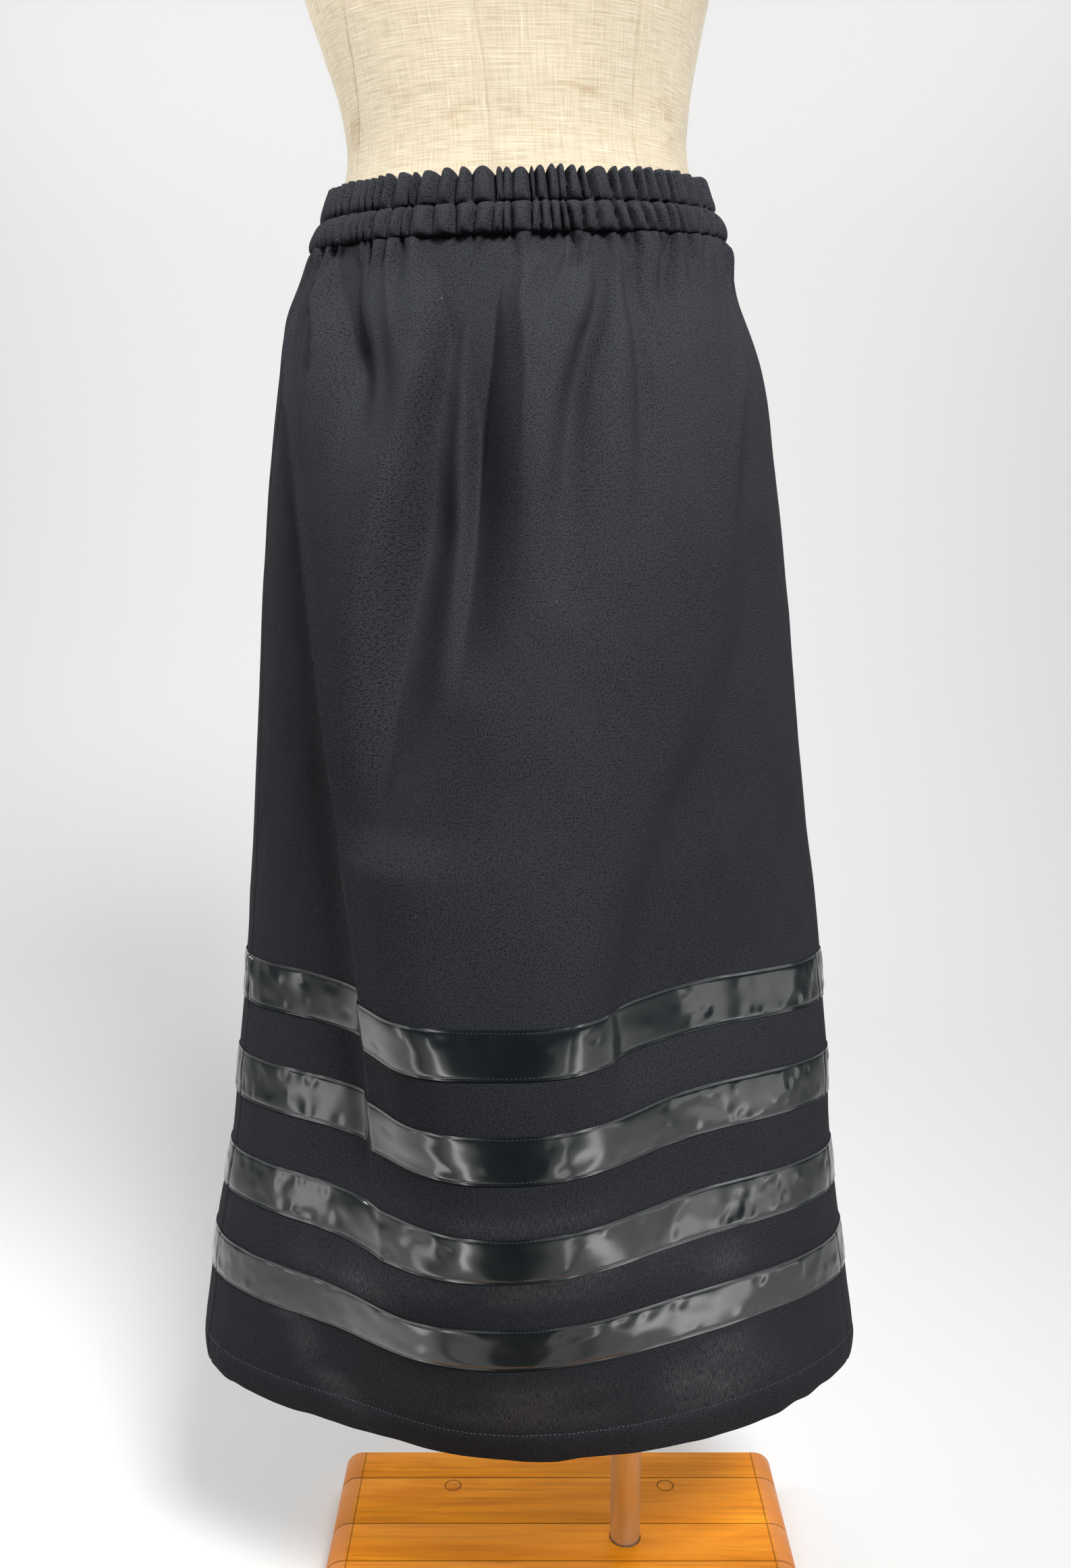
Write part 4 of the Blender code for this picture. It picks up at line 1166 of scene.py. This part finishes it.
def makeStitches():
    s = stitchSet
    turns = np.linspace(skirtShape["rightSeam"], skirtShape["rightSeam"] + 1, s["points"])
    lift = ribbonSet["gap"] + ribbonSet["thick"] + s["ribbonLift"]
    made = {}
    for name in ribbonSet["strips"]:
        rows = [lineOn(skirtPoint, ribbonHeight(name, share), turns, lift)
                for share in (stitchShare, 1 - stitchShare)]
        made[name] = rowPiece(name.replace("ribbon", "stitches"), rows, blackThread, "ribbon_satin",
                              s["pitch"], s["long"])
    rows = [lineOn(clothPoint, skirtShape["hem"] + panelSet["hemStitch"], turns, s["hemLift"])]
    made["hem"] = rowPiece("stitches_hem", rows, greyThread, "skirt_cloth", s["hemPitch"], s["hemLong"])
    return made


stitches = makeStitches()
print("stitches made")


# Linen dress form

poleSet = {"radius": 0.0143, "x": 0.062, "y": 0.086, "bottom": 0.0103, "top": 1.030, "sides": 96,
           "edge": 0.0006}

formSet = {
    "columns": 210, "girth": 0.75, "uvGirth": 0.80, "clear": 0.0055, "dent": 0.0004, "dents": (40, 30, 8),
    # stretches of rows from the bottom up: where each starts and ends, and how many
    "rows": [(0.930, 1.190, 26), (1.190, 1.640, 96), (1.640, 1.7575, 36)],
    # seam: turns at the heights below
    "seamHeights": [0.930, 1.190, 1.235, 1.346, 1.480, 1.600, 1.660, 1.760], "seamAt": 2,
    "seams": {
        "side_left": [0.985] * 8,
        "front_left": [0.070, 0.066, 0.068, 0.104, 0.140, 0.120, 0.115, 0.125],
        "centre_front": [0.233, 0.233, 0.233, 0.228, 0.230, 0.235, 0.240, 0.242],
        "front_right": [0.356, 0.356, 0.356, 0.355, 0.345, 0.365, 0.372, 0.366],
        "side_right": [0.505] * 8,
        "back_right": [0.640, 0.640, 0.640, 0.632, 0.625, 0.615, 0.610, 0.625],
        "centre_back": [0.745] * 8,
        "back_left": [0.858, 0.858, 0.858, 0.866, 0.872, 0.880, 0.885, 0.872],
    },
    "seamWide": 0.0008, "seamDeep": 0.0009, "seamSharp": 1.5,
    "near": [-0.0045, -0.0024, -0.0013, -0.0006, 0.0, 0.0006, 0.0013, 0.0024, 0.0045],
    # rings that close the neck and the underside: share of the outline, and how far up
    "neckRings": [(0.985, 0.0014), (0.955, 0.0022), (0.90, 0.0025), (0.60, 0.0025)], "neckY": 0.0015,
    "lowRings": [(0.6, 0.0), (0.97, 0.0)], "lowY": 0.018, "uvEnds": [[0, 0.93], [0, 1.76]],
    "boreRadius": 0.0146, "boreFrom": 0.8297, "boreTo": 1.0303, "boreSides": 64,
}


def seamColumns():  # even columns round the form, with closer ones beside each seam
    f = formSet
    seams = sorted([turns[f["seamAt"]] % 1.0, turns] for turns in f["seams"].values())
    columns = set(np.round(np.arange(f["columns"]) / f["columns"], 5))
    columns = {c for c in columns if all(abs(around(c, s, f["girth"])) > f["clear"] for s, _ in seams)}
    for place, _ in seams:
        columns |= {round((place + away / f["girth"]) % 1.0, 6) for away in f["near"]}
    return seams, np.array(sorted(columns))


def shrunkRing(ring, middle, share, up):
    ring = ring.copy()
    ring[..., 0] = middle + (ring[..., 0] - middle) * share
    ring[..., 1] *= share
    ring[..., 2] += up
    return ring


def cutBore(piece, x, y, radius, low, high, sides):
    deselectAll()
    bpy.ops.mesh.primitive_cylinder_add(vertices=sides, radius=radius, depth=high - low,
                                        location=(x, y, (high + low) / 2))
    cutter = bpy.context.object
    bore = piece.modifiers.new("bore", "BOOLEAN")
    bore.object = cutter
    bore.operation = "DIFFERENCE"
    choosePiece(piece)
    bpy.ops.object.modifier_apply(modifier="bore")
    bpy.data.objects.remove(cutter, do_unlink=True)


def makeForm():
    f = formSet
    seams, base = seamColumns()
    heights = np.array(sorted({level for stretch in f["rows"] for level in np.linspace(*stretch)}))
    places = [seams[-1][0] - 1] + [place for place, _ in seams] + [seams[0][0] + 1]
    turn = np.empty((len(heights), len(base)))
    for row, level in enumerate(heights):
        moved = [np.interp(level, f["seamHeights"], turns) - turns[f["seamAt"]] for _, turns in seams]
        turn[row] = base + np.interp(base, places, [moved[-1]] + moved + [moved[0]])
    height = heights[:, None] + 0 * turn
    wraps, steps, seed = f["dents"]
    out = f["dent"] * softNoise(turn * wraps, height * steps, wraps, seed)
    for place, _ in seams:
        out = out - f["seamDeep"] * bell(around(base, place, f["girth"]) / f["seamWide"], f["seamSharp"])
    outer = pointOut(formOutline, height, turn, out, height)
    lowX, neckX = formShape["centreX"][0], formShape["centreX"][-1]
    rings = [shrunkRing(outer[:1], lowX, share, up) for share, up in f["lowRings"]]
    rings += [outer] + [shrunkRing(outer[-1:], neckX, share, up) for share, up in f["neckRings"]]
    grid = np.concatenate(rings)
    rows, columns = grid.shape[:2]
    last = rows * columns
    points = list(grid.reshape(-1, 3)) + [np.array([lowX, f["lowY"], heights[0]]),
                                          np.array([neckX, f["neckY"], grid[-1, 0, 2]])]
    faces = gridFaces(rows, columns, columns)
    for column in range(columns):
        after = (column + 1) % columns
        faces.append((after, column, last))
        faces.append((last - columns + column, last - columns + after, last + 1))
    across = np.concatenate([turn[:1]] * len(f["lowRings"]) + [turn] + [turn[-1:]] * len(f["neckRings"]))
    uv = np.stack([across * f["uvGirth"], grid[..., 2]], axis=-1)
    uvs = np.concatenate([uv.reshape(-1, 2), f["uvEnds"]])
    form = meshPiece("linen_form", points, faces, linen, uvs, 60)
    cutBore(form, poleSet["x"], poleSet["y"], f["boreRadius"], f["boreFrom"], f["boreTo"], f["boreSides"])
    return finishPiece(form, "form_linen", "dress_form")


makeForm()
print("dress form made")


# Steel pole

hair = 1e-6  # edges whose ends differ by less are level or straight


def placeDown(piece):  # the place and size go into the mesh
    choosePiece(piece)
    bpy.ops.object.transform_apply(location=True, rotation=True, scale=True)


def smoothByAngle(piece, degrees):
    choosePiece(piece)
    bpy.ops.object.shade_smooth_by_angle(angle=math.radians(degrees))


def bevelChosen(piece, choose, offset, segments):
    bpy.ops.object.mode_set(mode="EDIT")
    bpy.ops.mesh.select_all(action="DESELECT")
    shape = bmesh.from_edit_mesh(piece.data)
    for edge in shape.edges:
        edge.select = choose(edge)
    bmesh.update_edit_mesh(piece.data)
    bpy.ops.mesh.bevel(offset=offset, segments=segments, affect="EDGES")
    bpy.ops.object.mode_set(mode="OBJECT")


def addCylinder(name, x, y, radius, low, high, sides):
    deselectAll()
    bpy.ops.mesh.primitive_cylinder_add(vertices=sides, radius=radius, depth=high - low,
                                        location=(x, y, (high + low) / 2))
    piece = bpy.context.object
    piece.name = name
    placeDown(piece)
    return piece


def makePole():
    p = poleSet
    pole = addCylinder("steel_pole", p["x"], p["y"], p["radius"], p["bottom"], p["top"], p["sides"])
    bevelChosen(pole, lambda edge: abs(edge.verts[0].co.z - edge.verts[1].co.z) < hair, p["edge"], 2)
    pole.data.materials.append(steel)
    smoothByAngle(pole, 40)
    return finishPiece(pole, "pole_steel", "pole")


makePole()
print("pole made")


# Plank base

def makeBoard(number, near, far):
    b = baseSet
    deselectAll()
    bpy.ops.mesh.primitive_cube_add(size=1, location=(0, (near + far) / 2, b["thick"] / 2),
                                    scale=(b["width"], far - near, b["thick"]))
    board = bpy.context.object
    board.name = f"board_{number}"
    placeDown(board)

    def isEnd(edge):  # the top edges that run across the sawn ends
        a, c = edge.verts
        return min(a.co.z, c.co.z) > b["thick"] - hair and abs(a.co.y - c.co.y) > hair

    def isLong(edge):  # the edges along the board, and the outlines of its rounded ends
        a, c = edge.verts
        straight = abs(a.co.x - c.co.x) > b["width"] / 2
        return straight or (abs(a.co.y - c.co.y) < hair and min(a.co.z, c.co.z) > b["thick"] / 2)

    bevelChosen(board, isEnd, b["endRound"], b["roundSteps"])
    bevelChosen(board, isLong, b["ease"], b["easeSteps"])
    over = b["thick"] + b["holeOver"]
    for x, y in b["plugs"].values():
        if near < y < far:
            cutBore(board, x, y, b["plugHole"], b["thick"] - b["plugDeep"], over, b["holeSides"])
    if near < poleSet["y"] < far:
        cutBore(board, poleSet["x"], poleSet["y"], b["poleHole"], b["poleFloor"], over, b["holeSides"])
    board.data.materials.append(boardWood)
    smoothByAngle(board, 30)
    return finishPiece(board, "base_wood", f"plank_{number}")


def makePlug(name, x, y):
    b = baseSet
    plug = addCylinder(f"screw_plug_{name}", x, y, b["plugRadius"], b["thick"] - b["plugDeep"], b["thick"],
                       b["plugSides"])
    bevelChosen(plug, lambda edge: min(v.co.z for v in edge.verts) > b["thick"] - hair,
                b["plugEase"], b["easeSteps"])
    plug.data.materials.append(plugWood)
    smoothByAngle(plug, 40)
    return finishPiece(plug, "plug_wood", f"plug_{name}")


def makeBase():
    b = baseSet
    edges = [-b["depth"] / 2, *b["joints"], b["depth"] / 2]
    for number, (near, far) in enumerate(zip(edges, edges[1:]), start=1):
        near += 0 if number == 1 else b["jointGap"] / 2
        far -= 0 if number == len(edges) - 1 else b["jointGap"] / 2
        makeBoard(number, near, far)
    for name, (x, y) in b["plugs"].items():
        makePlug(name, x, y)


makeBase()
print("base made")
